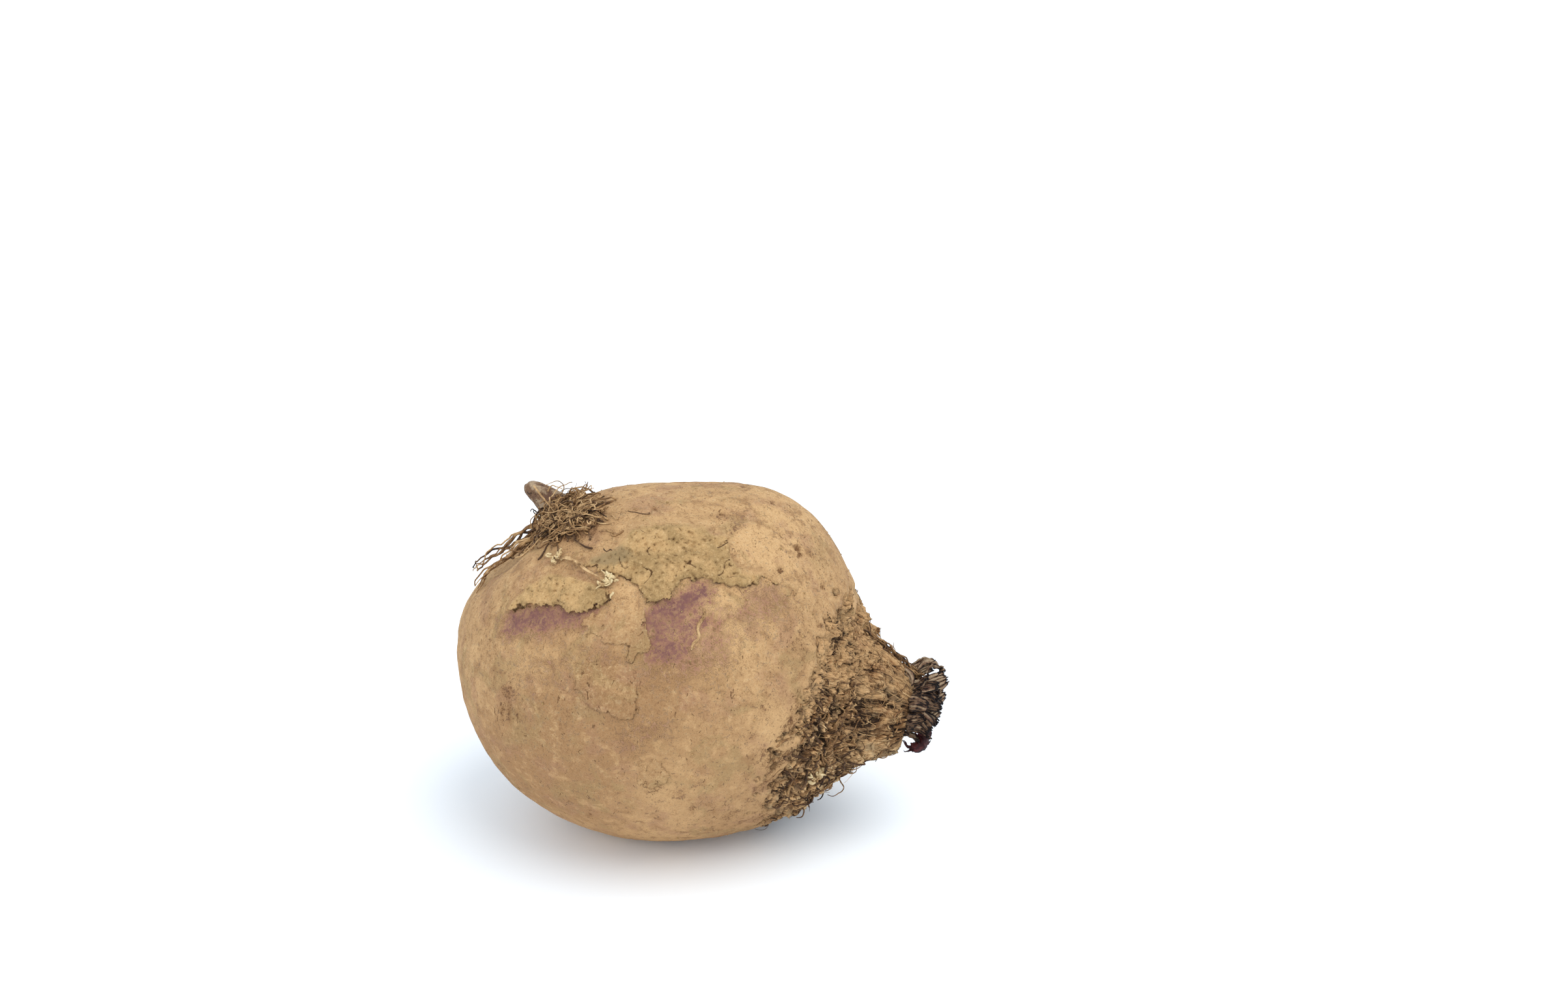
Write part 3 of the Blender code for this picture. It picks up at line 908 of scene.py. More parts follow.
@dataclass(frozen=True)
class SoilFinish:
    """Olive tan soil that has dried in a rough crust, with painted shade in its pits and cracks and along its
    edges.
    """

    name: str = "dried_soil"
    tan: tuple = linear(206, 166, 114)
    olive: tuple = linear(178, 144, 97)
    dark: tuple = linear(96, 67, 41)
    pale: tuple = linear(232, 195, 143)
    smooth: tuple = linear(160, 134, 96)
    roughness: float = 0.95
    bump: float = 0.55 * MM

    def build(self, grain: Tree, dust: Tree) -> Material:
        """The material, from the shared grain and dust.

        Args:
            grain: the shared soil grain.
            dust: the shared dust.

        Returns:
            The material.
        """
        material, board, shader = new_material(self.name)
        place = board.place_mm()
        grains = board.use(grain, Place=place, Coarseness=1.0)
        cover = board.use(dust, Place=place, Tint=board.attribute("tint"), Stain=0.0, Calm=0.4)
        colour = board.layer(self.tan, self.olive, board.noise(place, 8, 3), 0.44, 0.58)
        colour = board.layer(colour, self.olive, grains["Mottle"], 0.5, 0.68, 0.7)
        colour = board.layer(colour, self.pale, grains["Grit"], 0.51, 0.66, 0.6)
        colour = board.layer(colour, self.dark, grains["Grit"], 0.49, 0.33, 0.5)
        worn_smooth = board.sum("MULTIPLY_ADD", board.noise(place, 1.2, 3), 0.5, board.attribute("smooth"))
        colour = board.layer(colour, self.smooth, worn_smooth, 0.5, 0.9, 0.85)
        merged = board.sum("MULTIPLY_ADD", board.noise(place, 1.6, 3), 0.9, board.attribute("thin"))
        colour = board.layer(colour, cover["Colour"], merged, 0.6, 1.2)
        # painted shade in the pits and cracks and along the torn edges
        painted_hollow_shade = board.sum("MULTIPLY_ADD", board.noise(place, 0.9, 3), 1.0, board.attribute("hollow"))
        colour = board.layer(colour, self.dark, painted_hollow_shade, 0.66, 1.0, 0.95)
        wire(board, shader, colour, self.roughness, (grains["Height"], self.bump))
        return material


class Fibre(Enum):
    """The tones of dry fibre: its colours on the 0 to 255 scale from pale to dark, and its roughness."""

    PALE_FIBRE = ((226, 188, 138), (192, 152, 106), (128, 94, 60)), 0.75
    TAN_FIBRE = ((190, 150, 103), (150, 112, 74), (88, 60, 38)), 0.75
    BROWN_FIBRE = ((130, 98, 69), (86, 61, 42), (44, 30, 21)), 0.75
    CREAM_SHRED = ((242, 220, 174), (228, 198, 148), (176, 138, 94)), 0.75
    RED_STALK = ((96, 42, 42), (54, 22, 24), (22, 9, 10)), 0.5


@dataclass(frozen=True)
class FibreFinish:
    """Dry root or leaf fibre, whose colour changes from strand to strand and along each."""

    tone: Fibre
    bump: float = 0.08 * MM

    def build(self, lines: Tree) -> Material:
        """The material, from the shared grooves.

        Args:
            lines: the shared grooves.

        Returns:
            The material.
        """
        material, board, shader = new_material(self.tone.name.lower())
        place = board.place_mm()
        colours, roughness = self.tone.value
        pale, middle, dark = (linear(*colour) for colour in colours)
        mask = board.sum("MULTIPLY_ADD", board.noise(place, 0.5, 2), 0.45, board.noise(place, 2.3, 3))
        colour = board.layer(dark, middle, mask, 0.50, 0.72)
        colour = board.layer(colour, pale, mask, 0.70, 0.92)
        streaks = board.use(lines, Place=place, Size=0.5)
        wire(board, shader, colour, roughness, (streaks["Height"], self.bump))
        return material


@dataclass(frozen=True)
class StalkFinish:
    """The withered leaf stalks' grey brown ribs, lighter on their crests as painted light, with painted shade
    near black between them, and black at their rotten ends.
    """

    name: str = "dead_stalk"
    rib: tuple = linear(186, 160, 130)
    brown: tuple = linear(130, 99, 75)
    groove: tuple = linear(30, 20, 19)
    red: tuple = linear(96, 60, 56)
    bump: float = 0.15 * MM

    def build(self, lines: Tree) -> Material:
        """The material, from the shared grooves.

        Args:
            lines: the shared grooves.

        Returns:
            The material.
        """
        material, board, shader = new_material(self.name)
        place = board.place_mm()
        lit = board.sum("MULTIPLY_ADD", board.noise(place, 0.7, 4), 0.8, board.attribute("raised"))
        colour = board.layer(self.brown, self.red, board.noise(place, 3.1, 2), 0.52, 0.66, 0.5)
        # painted shade near black in the grooves between the ribs, and the ribs lighter as painted light
        colour = board.layer(colour, self.groove, lit, 0.76, 0.54)
        colour = board.layer(colour, self.rib, lit, 0.82, 1.14, 0.95)
        streaks = board.use(lines, Place=place, Size=0.6)
        wire(board, shader, colour, board.ramp(lit, 0.5, 1.2, 0.55, 0.85), (streaks["Height"], self.bump))
        return material


# The skin


def gap_inside(places: np.ndarray, outline: Sequence[tuple[float, float]]) -> np.ndarray:
    """How far flat points are inside an outline: more than 0 inside, less outside.

    Args:
        places: the points, one a row.
        outline: the outline's corners in order.

    Returns:
        One distance a point, in the points' own unit.
    """
    corners = np.array(outline, float)
    nearest = np.full(len(places), 1e9)
    within = np.zeros(len(places), bool)
    for start, end in zip(corners, np.roll(corners, -1, axis=0)):
        run = end - start
        share = np.clip((places - start) @ run / (run @ run), 0, 1)
        nearest = np.minimum(nearest, np.linalg.norm(places - start - share[:, None] * run, axis=1))
        crosses = (start[1] > places[:, 1]) != (end[1] > places[:, 1])
        if run[1]:
            at = start[0] + (places[:, 1] - start[1]) / run[1] * run[0]
            within ^= crosses & (places[:, 0] < at)
    return np.where(within, nearest, -nearest)


@dataclass
class PolarGrid:
    """A sphere's mesh whose rows run round the crown's axis, wandering with the leaf scars."""

    obj: Piece
    angles: np.ndarray
    turns: np.ndarray
    scars: np.ndarray
    inward: np.ndarray

    @classmethod
    def add(cls, name: str, segments: int, even: np.ndarray, closing: int = 0) -> "PolarGrid":
        """Adds the sphere and reads where each of its vertices belongs.

        Args:
            name: the piece's name.
            segments: how many meridians it has.
            even: its rows' even angles from the axis in degrees.
            closing: how many more rows close a mesh that ends before the far pole, from inside.

        Returns:
            The mesh, with each vertex's angle, turn, scar height, and share of the way out to the skin.
        """
        rows = len(even) + closing
        bpy.ops.mesh.primitive_uv_sphere_add(segments=segments, ring_count=rows + 1, radius=1)
        obj = bpy.context.object
        obj.name = obj.data.name = name
        sphere = coordinates(obj)
        row = np.rint(np.arccos(np.clip(sphere[:, 2], -1, 1)) / math.pi * (rows + 1)).astype(int)
        turns = np.arctan2(sphere[:, 1], sphere[:, 0])
        meridian = np.rint(turns / math.tau * segments).astype(int) % segments
        reliefs = [SCARS.relief(even, math.tau * index / segments) for index in range(segments)]
        far = [even[-1]] * (closing + 1) if closing else [180.0]
        angle_rows = [np.concatenate(([0.0], angles, far)) for angles, _ in reliefs]
        height_rows = [np.concatenate(([0.0], heights, [0.0] * len(far))) for _, heights in reliefs]
        inside = np.linspace(1, 0, closing + 2)[1:] if closing else [1.0]
        outward = np.concatenate((np.ones(len(even) + 1), inside))
        angles, heights = (np.array(rows)[meridian, row] for rows in (angle_rows, height_rows))
        return cls(obj, angles, turns, heights, outward[row])

    @property
    def directions(self) -> np.ndarray:
        """Each vertex's direction from the root's centre.

        Returns:
            Unit directions, one a row.
        """
        tilt = np.radians(self.angles)
        flat = np.sin(tilt)
        local = np.column_stack((np.cos(self.turns) * flat, np.sin(self.turns) * flat, np.cos(tilt)))
        return local @ FORM.crown_turned.T

    @property
    def ring(self) -> np.ndarray:
        """Each vertex's place on a circle of radius 1 round the axis, with no seam."""
        return np.column_stack((np.cos(self.turns), np.sin(self.turns), np.zeros(len(self.turns))))


@dataclass
class CrownBorder:
    """Where the smooth skin gives way to the crown's torn mat, with a ragged border."""

    upper: float = 30.0
    lower: float = 46.5
    softness: float = 6.0
    ragged: tuple = ((6, 0.2), (6, 0.07), (3, 0.03))  # degrees, and the size of their noise
    grain: Grain = field(default_factory=lambda: Grain(SEED))

    def share(self, directions: np.ndarray) -> np.ndarray:
        """1 on the mat, 0 on the smooth skin.

        Args:
            directions: unit directions, one a row.

        Returns:
            One share a row.
        """
        axis = FORM.crown_axis
        angle = np.degrees(FORM.angle_from(directions, axis))
        side = directions - np.outer(directions @ axis, axis)
        side /= np.maximum(1e-9, np.linalg.norm(side, axis=1))[:, None]
        up = SIGHT.axes[1] - (SIGHT.axes[1] @ axis) * axis
        low = 0.5 - 0.5 * side @ (up / np.linalg.norm(up))
        edge = self.upper + (self.lower - self.upper) * low
        for height, size in self.ragged:
            edge += height * self.grain(directions, size)
        return smooth_step(edge + self.softness, edge - self.softness, angle)


BORDER = CrownBorder()


@dataclass
class Skin:
    """The whole root's dusty skin."""

    segments: int = 440
    hidden_step: float = 1.6
    crown_end: float = 26.0
    body_step: float = 0.80
    wave_height: float = 0.14 * MM
    wave_size: float = 7 * MM
    ripple_height: float = 0.08 * MM
    ripple_size: float = 2.2 * MM
    dust_depth: float = 0.22 * MM
    under_mat: float = 1.5 * MM
    # Where the dust has come off, with how bare each place is and how softly it ends
    bare_places: tuple = (
        (0.60, 1.1, ((-3.8, 10.8), (-1.0, 13.0), (1.5, 12.7), (3.9, 15.8), (8.0, 16.4), (11.2, 16.4),
                     (10.2, 12.0), (8.4, 7.0), (7.0, 2.0), (3.0, -1.0), (-1.5, -2.0), (-4.2, -1.0),
                     (-3.0, 3.9))),
        (0.74, 1.6, ((3.0, 14.5), (10.0, 15.6), (9.0, 11.5), (3.5, 8.0), (-2.6, 9.5))),
        (0.74, 1.8, ((-2.5, 4.0), (3.0, 3.0), (3.4, -0.5), (-1.5, -1.5), (-3.4, -0.2))),
        (0.38, 3.5, ((-3.4, 6.0), (9.0, 12.0), (14.5, 10.0), (15.0, 2.5), (12.4, -2.6), (4.0, -5.0),
                     (-3.4, -4.2))),
        (0.70, 3.0, ((-33.7, 9.1), (-27.8, 13.0), (-18.4, 12.4), (-11.4, 11.8), (-14.9, 8.1), (-23.0, 5.8),
                     (-32.3, 4.8))),
        (0.34, 3.5, ((16.4, 14.6), (25.8, 14.5), (24.7, 7.4), (17.5, 4.8), (14.1, 9.0))),
        (0.22, 5.0, ((-30.0, 3.0), (-14.0, 3.5), (-8.0, 1.0), (-12.0, -4.0), (-30.0, -5.0))),
        (0.30, 1.2, ((14.0, 25.5), (15.6, 28.0), (17.4, 26.6), (16.2, 24.6))),
        (0.26, 3.0, ((-10.0, -13.0), (-2.0, -10.5), (1.0, -16.0), (-8.0, -18.0))),
    )  # fmt: skip
    # Right, up, radius in mm, depth in mm, and how dark
    pits: tuple = (
        (28.5, 22.4, 0.9, 0.5, 1.0), (29.2, 21.0, 0.7, 0.4, 1.0), (15.3, 26.5, 1.3, 0.2, 0.5),
        (-1.2, 31.0, 0.6, 0.3, 0.7), (12.6, 29.9, 0.7, 0.3, 0.7), (23.8, 32.3, 0.6, 0.2, 0.7),
        (6.4, 26.2, 0.5, 0.25, 0.7), (17.9, 36.5, 0.7, 0.2, 0.6), (-31.5, -4.9, 0.6, 0.3, 0.6),
        (-33.2, -9.1, 0.4, 0.3, 0.6), (-31.0, -11.3, 0.5, 0.35, 0.6), (-35.5, -14.0, 0.4, 0.2, 0.5),
        (5.0, -31.0, 0.8, 0.3, 0.6), (-16.0, -32.0, 0.7, 0.25, 0.6), (32.0, 6.0, 0.8, 0.2, 0.6),
        (21.0, -6.0, 0.5, 0.2, 0.4), (-5.5, 24.5, 0.8, 0.35, 0.7), (20.5, 12.0, 0.7, 0.2, 0.5),
        (24.5, 17.5, 0.8, 0.35, 0.8), (33.5, 14.0, 0.7, 0.3, 0.7), (-3.0, -24.0, 0.8, 0.3, 0.6),
    )  # fmt: skip
    # Right, up, half width, half height in mm, and how dark: scratched or dirty patches, and under the root
    # tuft painted shade with soil
    smudges: tuple = (
        (-31.8, -8.5, 0.7, 4.4, 0.62), (-33.6, -10.0, 0.5, 3.6, 0.56), (-30.2, -11.0, 0.5, 3.0, 0.56),
        (-32.6, -7.0, 2.8, 6.0, 0.34), (-34.6, -3.0, 0.6, 4.0, 0.45), (28.0, 2.0, 3.0, 5.0, 0.48),
        (-2.0, -25.5, 3.4, 3.4, 0.36), (8.0, 29.0, 9.0, 1.2, 0.30),
        (-9.0, 24.5, 4.0, 1.6, 0.34), (17.0, 13.4, 5.0, 1.0, 0.34), (-12.0, -9.0, 5.0, 5.0, 0.20),
        # painted shade with soil under the root tuft
        (-20.0, 29.0, 9.0, 5.4, 0.85), (31.0, 20.0, 3.0, 6.0, 0.20), (-37.0, 8.0, 3.0, 8.0, 0.18),
        (12.0, -33.0, 12.0, 3.0, 0.30),
    )  # fmt: skip
    # Right, up, radius in mm, and how much darker the dust is painted there: darker dust and painted shade
    # towards the lower left, and painted light, below 0, at the upper right
    tint_and_shading_spots: tuple = (
        (-28, -21, 15, 0.85), (-18, -12, 15, 0.55), (-8, -3, 12, 0.55), (5, -28, 14, 0.20), (-22, 7, 8, 0.35),
        (22, 10, 8, 0.15), (27, -8, 6, 0.30), (24, 23, 9, -0.5), (8, -8, 10, 0.2),
    )  # fmt: skip
    grain: Grain = field(default_factory=lambda: Grain(SEED))

    def bareness(self, steps: np.ndarray) -> np.ndarray:
        """How bare of dust the skin is at steps from the centre.

        Args:
            steps: steps in metres from the root's centre, one a row.

        Returns:
            0 under full dust, towards 1 where it is gone.
        """
        seen = SIGHT.seen(steps)
        ragged = 1.6 * self.grain(steps, 4.0 * MM) + 0.9 * self.grain(steps, 1.4 * MM)
        bare = np.zeros(len(steps))
        for amount, soft, outline in self.bare_places:
            inside = gap_inside(seen[:, :2], outline) + ragged
            bare = np.maximum(bare, np.where(seen[:, 2] > 5, amount * smooth_step(-soft, soft, inside), 0))
        hidden = smooth_step(6, -10, seen[:, 2])
        return np.maximum(bare, hidden * 0.55 * smooth_step(0.1, 0.55, self.grain.layered(steps, 17 * MM)))

    def spots(self, seen: np.ndarray, right: float, up: float, wide: float, high: float) -> np.ndarray:
        """A soft uneven spot on the side that is seen, 1 at its middle.

        Args:
            seen: sighted places, one a row.
            right, up: the spot's middle.
            wide, high: its half width and half height.

        Returns:
            One value a place.
        """
        waves = np.sin(2.1 * seen[:, 0] + 1.3 * seen[:, 1]) * np.cos(1.7 * seen[:, 1] - seen[:, 0])
        uneven = 1 + (0.7 if max(wide, high) < 1.5 else 0.12) * waves
        off = (((seen[:, 0] - right) / wide) ** 2 + ((seen[:, 1] - up) / high) ** 2) * uneven
        return np.where(seen[:, 2] > 0, np.exp(-off), 0)

    def stains_and_shade(self, steps: np.ndarray) -> np.ndarray:
        """How stained the skin is in its pits and smudges, with painted shade under the root tuft, round the
        tail, and along the mat's border on the lower side.

        Args:
            steps: steps in metres from the root's centre, one a row.

        Returns:
            0 where it is clean and unshaded, towards 1 where it is darkest.
        """
        seen = SIGHT.seen(steps)
        stain = np.zeros(len(steps))
        for right, up, wide, _, dark in self.pits:
            stain = np.maximum(stain, dark * self.spots(seen, right, up, wide, wide))
        for right, up, wide, high, dark in self.smudges:
            stain = np.maximum(stain, dark * self.spots(seen, right, up, wide, high))
        # painted shade with soil round the tail, under its roots
        tail = FORM.tail_line() - FORM.middle
        for place, wide, dark in ((tail[1], 8.0, 0.75), (tail[2], 6.0, 0.75)):
            off = np.linalg.norm(steps - place, axis=1) / (wide * MM)
            stain = np.maximum(stain, dark * np.exp(-(off**2)))
        # painted shade along the mat's border on the lower side
        angle = np.degrees(FORM.angle_from(steps / np.linalg.norm(steps, axis=1)[:, None], FORM.crown_axis))
        border = np.exp(-(((angle - 43) / 11) ** 2)) * smooth_step(6, -14, seen[:, 1])
        return np.maximum(stain, 0.62 * border * (0.6 + 0.7 * self.grain(steps, 5 * MM)))

    def dents(self, steps: np.ndarray) -> np.ndarray:
        """How deep the pits are at steps from the centre.

        Args:
            steps: steps in metres from the root's centre, one a row.

        Returns:
            Depths in metres.
        """
        seen = SIGHT.seen(steps)
        depth = np.zeros(len(steps))
        for right, up, wide, deep, _ in self.pits:
            depth = np.maximum(depth, deep * MM * self.spots(seen, right, up, wide, wide))
        return depth

    def tint(self, steps: np.ndarray) -> np.ndarray:
        """How much darker the dust is painted at steps from the centre, as darker dust and painted shade, and
        paler as painted light.

        Args:
            steps: steps from the centre in metres, one a row.

        Returns:
            Shares from -0.5, paler, to 1.
        """
        seen = SIGHT.seen(steps)
        tint_and_shading_spots = [dark * self.spots(seen, right, up, wide, wide) for right, up, wide, dark in self.tint_and_shading_spots]
        return np.clip(sum(tint_and_shading_spots), -0.5, 1)

    def build(self) -> Piece:
        """The skin's mesh: a sphere drawn out to the form, with its relief and its marks.

        Returns:
            The piece.
        """
        hidden = np.arange(self.hidden_step, self.crown_end, self.hidden_step)
        rows = round((180 - self.crown_end) / self.body_step)
        even = np.concatenate((hidden, np.linspace(self.crown_end, 180, rows, endpoint=False)))
        grid = PolarGrid.add("root_skin", self.segments, even)
        directions = grid.directions
        crown = BORDER.share(directions)
        smooth = FORM.with_flare(directions, FORM.radius(directions)) + FORM.lumps(directions)
        steps = directions * smooth[:, None]
        bare = self.bareness(steps) * (1 - crown)
        waves = self.wave_height * self.grain.layered(steps, self.wave_size)
        waves += self.ripple_height * self.grain(steps, self.ripple_size)
        dust = self.dust_depth * (1 - smooth_step(0.25, 0.4, bare))
        height = grid.scars * (1 - crown) + waves + dust - self.dents(steps)
        height -= self.under_mat * smooth_step(0.3, 0.9, crown)
        move_to(grid.obj, FORM.flattened(FORM.middle + directions * (smooth + height)[:, None]))
        mark(grid.obj, "bare", bare)
        # darker and paler spots: darker dust, painted shade and painted light
        mark(grid.obj, "tint", self.tint(steps))
        # stains, with painted shade under the roots and along the mat's lower border
        mark(grid.obj, "stain", self.stains_and_shade(steps))
        seen = SIGHT.seen(steps)
        mark(grid.obj, "calm", smooth_step(2, -24, seen[:, 1] + 6 * self.grain(steps, 12 * MM)))
        return grid.obj


@dataclass
class CrownSkin:
    """The crown's torn mat over the leaf scars: a fine mesh that dives under the skin at its border."""

    segments: int = 720
    tip_end: float = 8.0
    end: float = 53.0
    step: float = 0.365
    closing_rows: int = 3
    inner_reach: float = 22.0 * MM
    scar_share: float = 0.85
    fold_height: float = 0.55 * MM
    fibre_height: float = 0.30 * MM
    lump_height: float = 0.85 * MM
    crevice_depth: float = 1.1 * MM
    # Sighted lines that the deepest crevices follow
    gashes: tuple = (
        ((32.8, -12.9), (36.0, -11.4), (39.4, -12.0), (42.2, -10.2), (44.3, -10.5), (46.6, -10.7),
         (49.0, -12.0)),
        ((31.1, -14.5), (32.7, -16.7), (33.5, -18.6), (32.5, -21.7)),
        ((38.5, -14.6), (42.0, -15.2), (45.5, -14.0)),
        ((37.2, 9.0), (37.6, 4.0), (36.0, 0.5)),
    )  # fmt: skip
    under_skin: float = 1.0 * MM
    grain: Grain = field(default_factory=lambda: Grain(SEED + 7))

    def relief(self, directions: np.ndarray, grid: PolarGrid) -> tuple[np.ndarray, np.ndarray]:
        """The mat's own relief, with how deep each vertex is in a crevice.

        Args:
            directions: each vertex's direction from the root's centre.
            grid: the cap's mesh.

        Returns:
            The relief in metres, and 1 in a crevice and 0 out of it.
        """
        warp = np.column_stack([self.grain.layered(directions + 3.1 * axis, 0.12, 2) for axis in range(3)])
        angles = grid.angles + 16 * warp[:, 0] + 3 * self.grain(directions, 0.04)
        turned = grid.turns + 0.42 * warp[:, 1] + 0.06 * self.grain(directions + 5, 0.05)
        ring = np.column_stack((np.cos(turned), np.sin(turned), np.zeros(len(turned))))
        height = np.array((0, 0, 1.0))
        folds = self.grain.creased(ring * 2.6 + np.outer(angles * 0.36, height), 1.0)
        fibres = self.grain.creased(ring * 17 + np.outer(angles * 0.10, height), 1.0)
        finer = self.grain(ring * 34 + np.outer(angles * 0.16, height), 1.0)
        lumps = self.grain.layered(directions + warp * 0.05, 0.06, 4)
        cracks = self.grain.creased(directions + warp * 0.10, 0.085)
        broken = smooth_step(-0.3, 0.3, self.grain(directions, 0.14) + 0.12)
        crevices = smooth_step(0.76, 0.95, cracks) * broken
        furrows = self.grain.creased(ring * 9 + np.outer(angles * 0.075, height) + 9, 1.0)
        crevices = np.maximum(crevices, 0.8 * smooth_step(0.86, 0.99, furrows))
        seen = directions @ SIGHT.axes.T * (FORM.radius(directions) / MM)[:, None]
        astray = np.column_stack([self.grain(directions + 2 * axis, 0.05) for axis in range(2)])
        flat = seen[:, :2] + 0.7 * astray
        for line in self.gashes:
            for start, end in zip(line, line[1:]):
                run, off = np.subtract(end, start), flat - start
                share = np.clip(off @ run / (run @ run), 0, 1)
                gap = np.linalg.norm(off - share[:, None] * run, axis=1)
                crevices = np.maximum(crevices, smooth_step(0.9, 0.25, gap) * (seen[:, 2] > 0))
        near_tip = 1 - smooth_step(14, 30, angles)
        relief = self.fold_height * (folds - 0.4) * (1 - 0.6 * near_tip)
        relief += self.fibre_height * (fibres - 0.4) * (0.45 + 0.7 * near_tip) + 0.12 * MM * finer
        return relief + self.lump_height * lumps - self.crevice_depth * crevices, crevices

    def build(self) -> Piece:
        """The cap's mesh and its marks.

        Returns:
            The piece.
        """
        tip_rows, rows = np.arange(1.0, self.tip_end, 1.0), np.arange(self.tip_end, self.end, self.step)
        even = np.concatenate((tip_rows, rows))
        grid = PolarGrid.add("crown_mat", self.segments, even, self.closing_rows)
        directions = grid.directions
        share = BORDER.share(directions)
        relief, crevices = self.relief(directions, grid)
        smooth = FORM.with_flare(directions, FORM.radius(directions)) + FORM.lumps(directions)
        flat_tip = smooth_step(4, 10, grid.angles)
        height = self.scar_share * grid.scars + relief * flat_tip * (0.25 + 0.75 * share)
        height -= self.under_skin * (1 - smooth_step(0.08, 0.5, share))
        outer = FORM.flattened(FORM.middle + directions * (smooth + height)[:, None])
        inner = FORM.middle + FORM.crown_axis * self.inner_reach
        move_to(grid.obj, inner + (outer - inner) * grid.inward[:, None])
        # how raised each place is, which the finish turns into painted shade in hollows and crevices and
        # lighter crests
        raised = 0.50 + relief / (1.6 * MM) + (grid.scars - 0.7 * MM) / (7 * MM) - 0.35 * crevices
        up = directions @ SIGHT.axes[1] * smooth / MM
        film = self.grain.layered(directions + 4, 0.09, 4)
        # painted shade, darker towards the lower side
        lower_shade = smooth_step(-4, -22, up) * (0.42 + 0.5 * self.grain.layered(directions, 0.12))
        mark(grid.obj, "crown", share)
        # dust film on the upper side, partly painted light
        mark(grid.obj, "dusty", np.clip(1.1 * smooth_step(-16, 2, up) + 0.9 * film, 0, 0.95))
        mark(grid.obj, "raised", np.clip(raised, 0, 1))
        mark(grid.obj, "lower_shade", np.clip(lower_shade, 0, 0.8))
        drawn = grid.obj.data.attributes.new("crown_place", "FLOAT_VECTOR", "POINT")
        places = grid.ring * 22 + np.outer(grid.angles, (0, 0, 0.25))
        drawn.data.foreach_set("vector", places.astype(np.float32).ravel())
        return grid.obj


class Surface:
    """The finished skin and crown, to lay other pieces on."""

    def __init__(self, pieces: Sequence[Piece]) -> None:
        """Reads the meshes of the pieces.

        Args:
            pieces: the mesh objects that it is made of.
        """
        points, faces = [], []
        for piece in pieces:
            faces += [[corner + len(points) for corner in face.vertices] for face in piece.data.polygons]
            points += [vertex.co.copy() for vertex in piece.data.vertices]
        self.tree = BVHTree.FromPolygons(points, faces)
        self.middle = Vector(FORM.centre)
        self.far = 0.09

    def at(self, direction: Vector, lift: float = 0.0) -> tuple[Vector, Vector]:
        """The skin's outermost point along a direction from the centre, lifted, and its normal.

        Args:
            direction: any step from the centre.
            lift: how far off the skin the point is.

        Returns:
            The point and the normal.
        """
        way = Vector(direction).normalized()
        point, normal, _, _ = self.tree.ray_cast(self.middle + way * self.far, -way)
        return point + normal * lift, normal

    def clear(self, point: Vector, clearance: float) -> Vector:
        """The point, lifted where it is nearer to the skin than the clearance.

        Args:
            point: a point near the skin.
            clearance: how far off it the point must be.

        Returns:
            The point.
        """
        way = point - self.middle
        skin, _ = self.at(way)
        least = (skin - self.middle).length + clearance
        return self.middle + way.normalized() * max(way.length, least)


# The dried soil


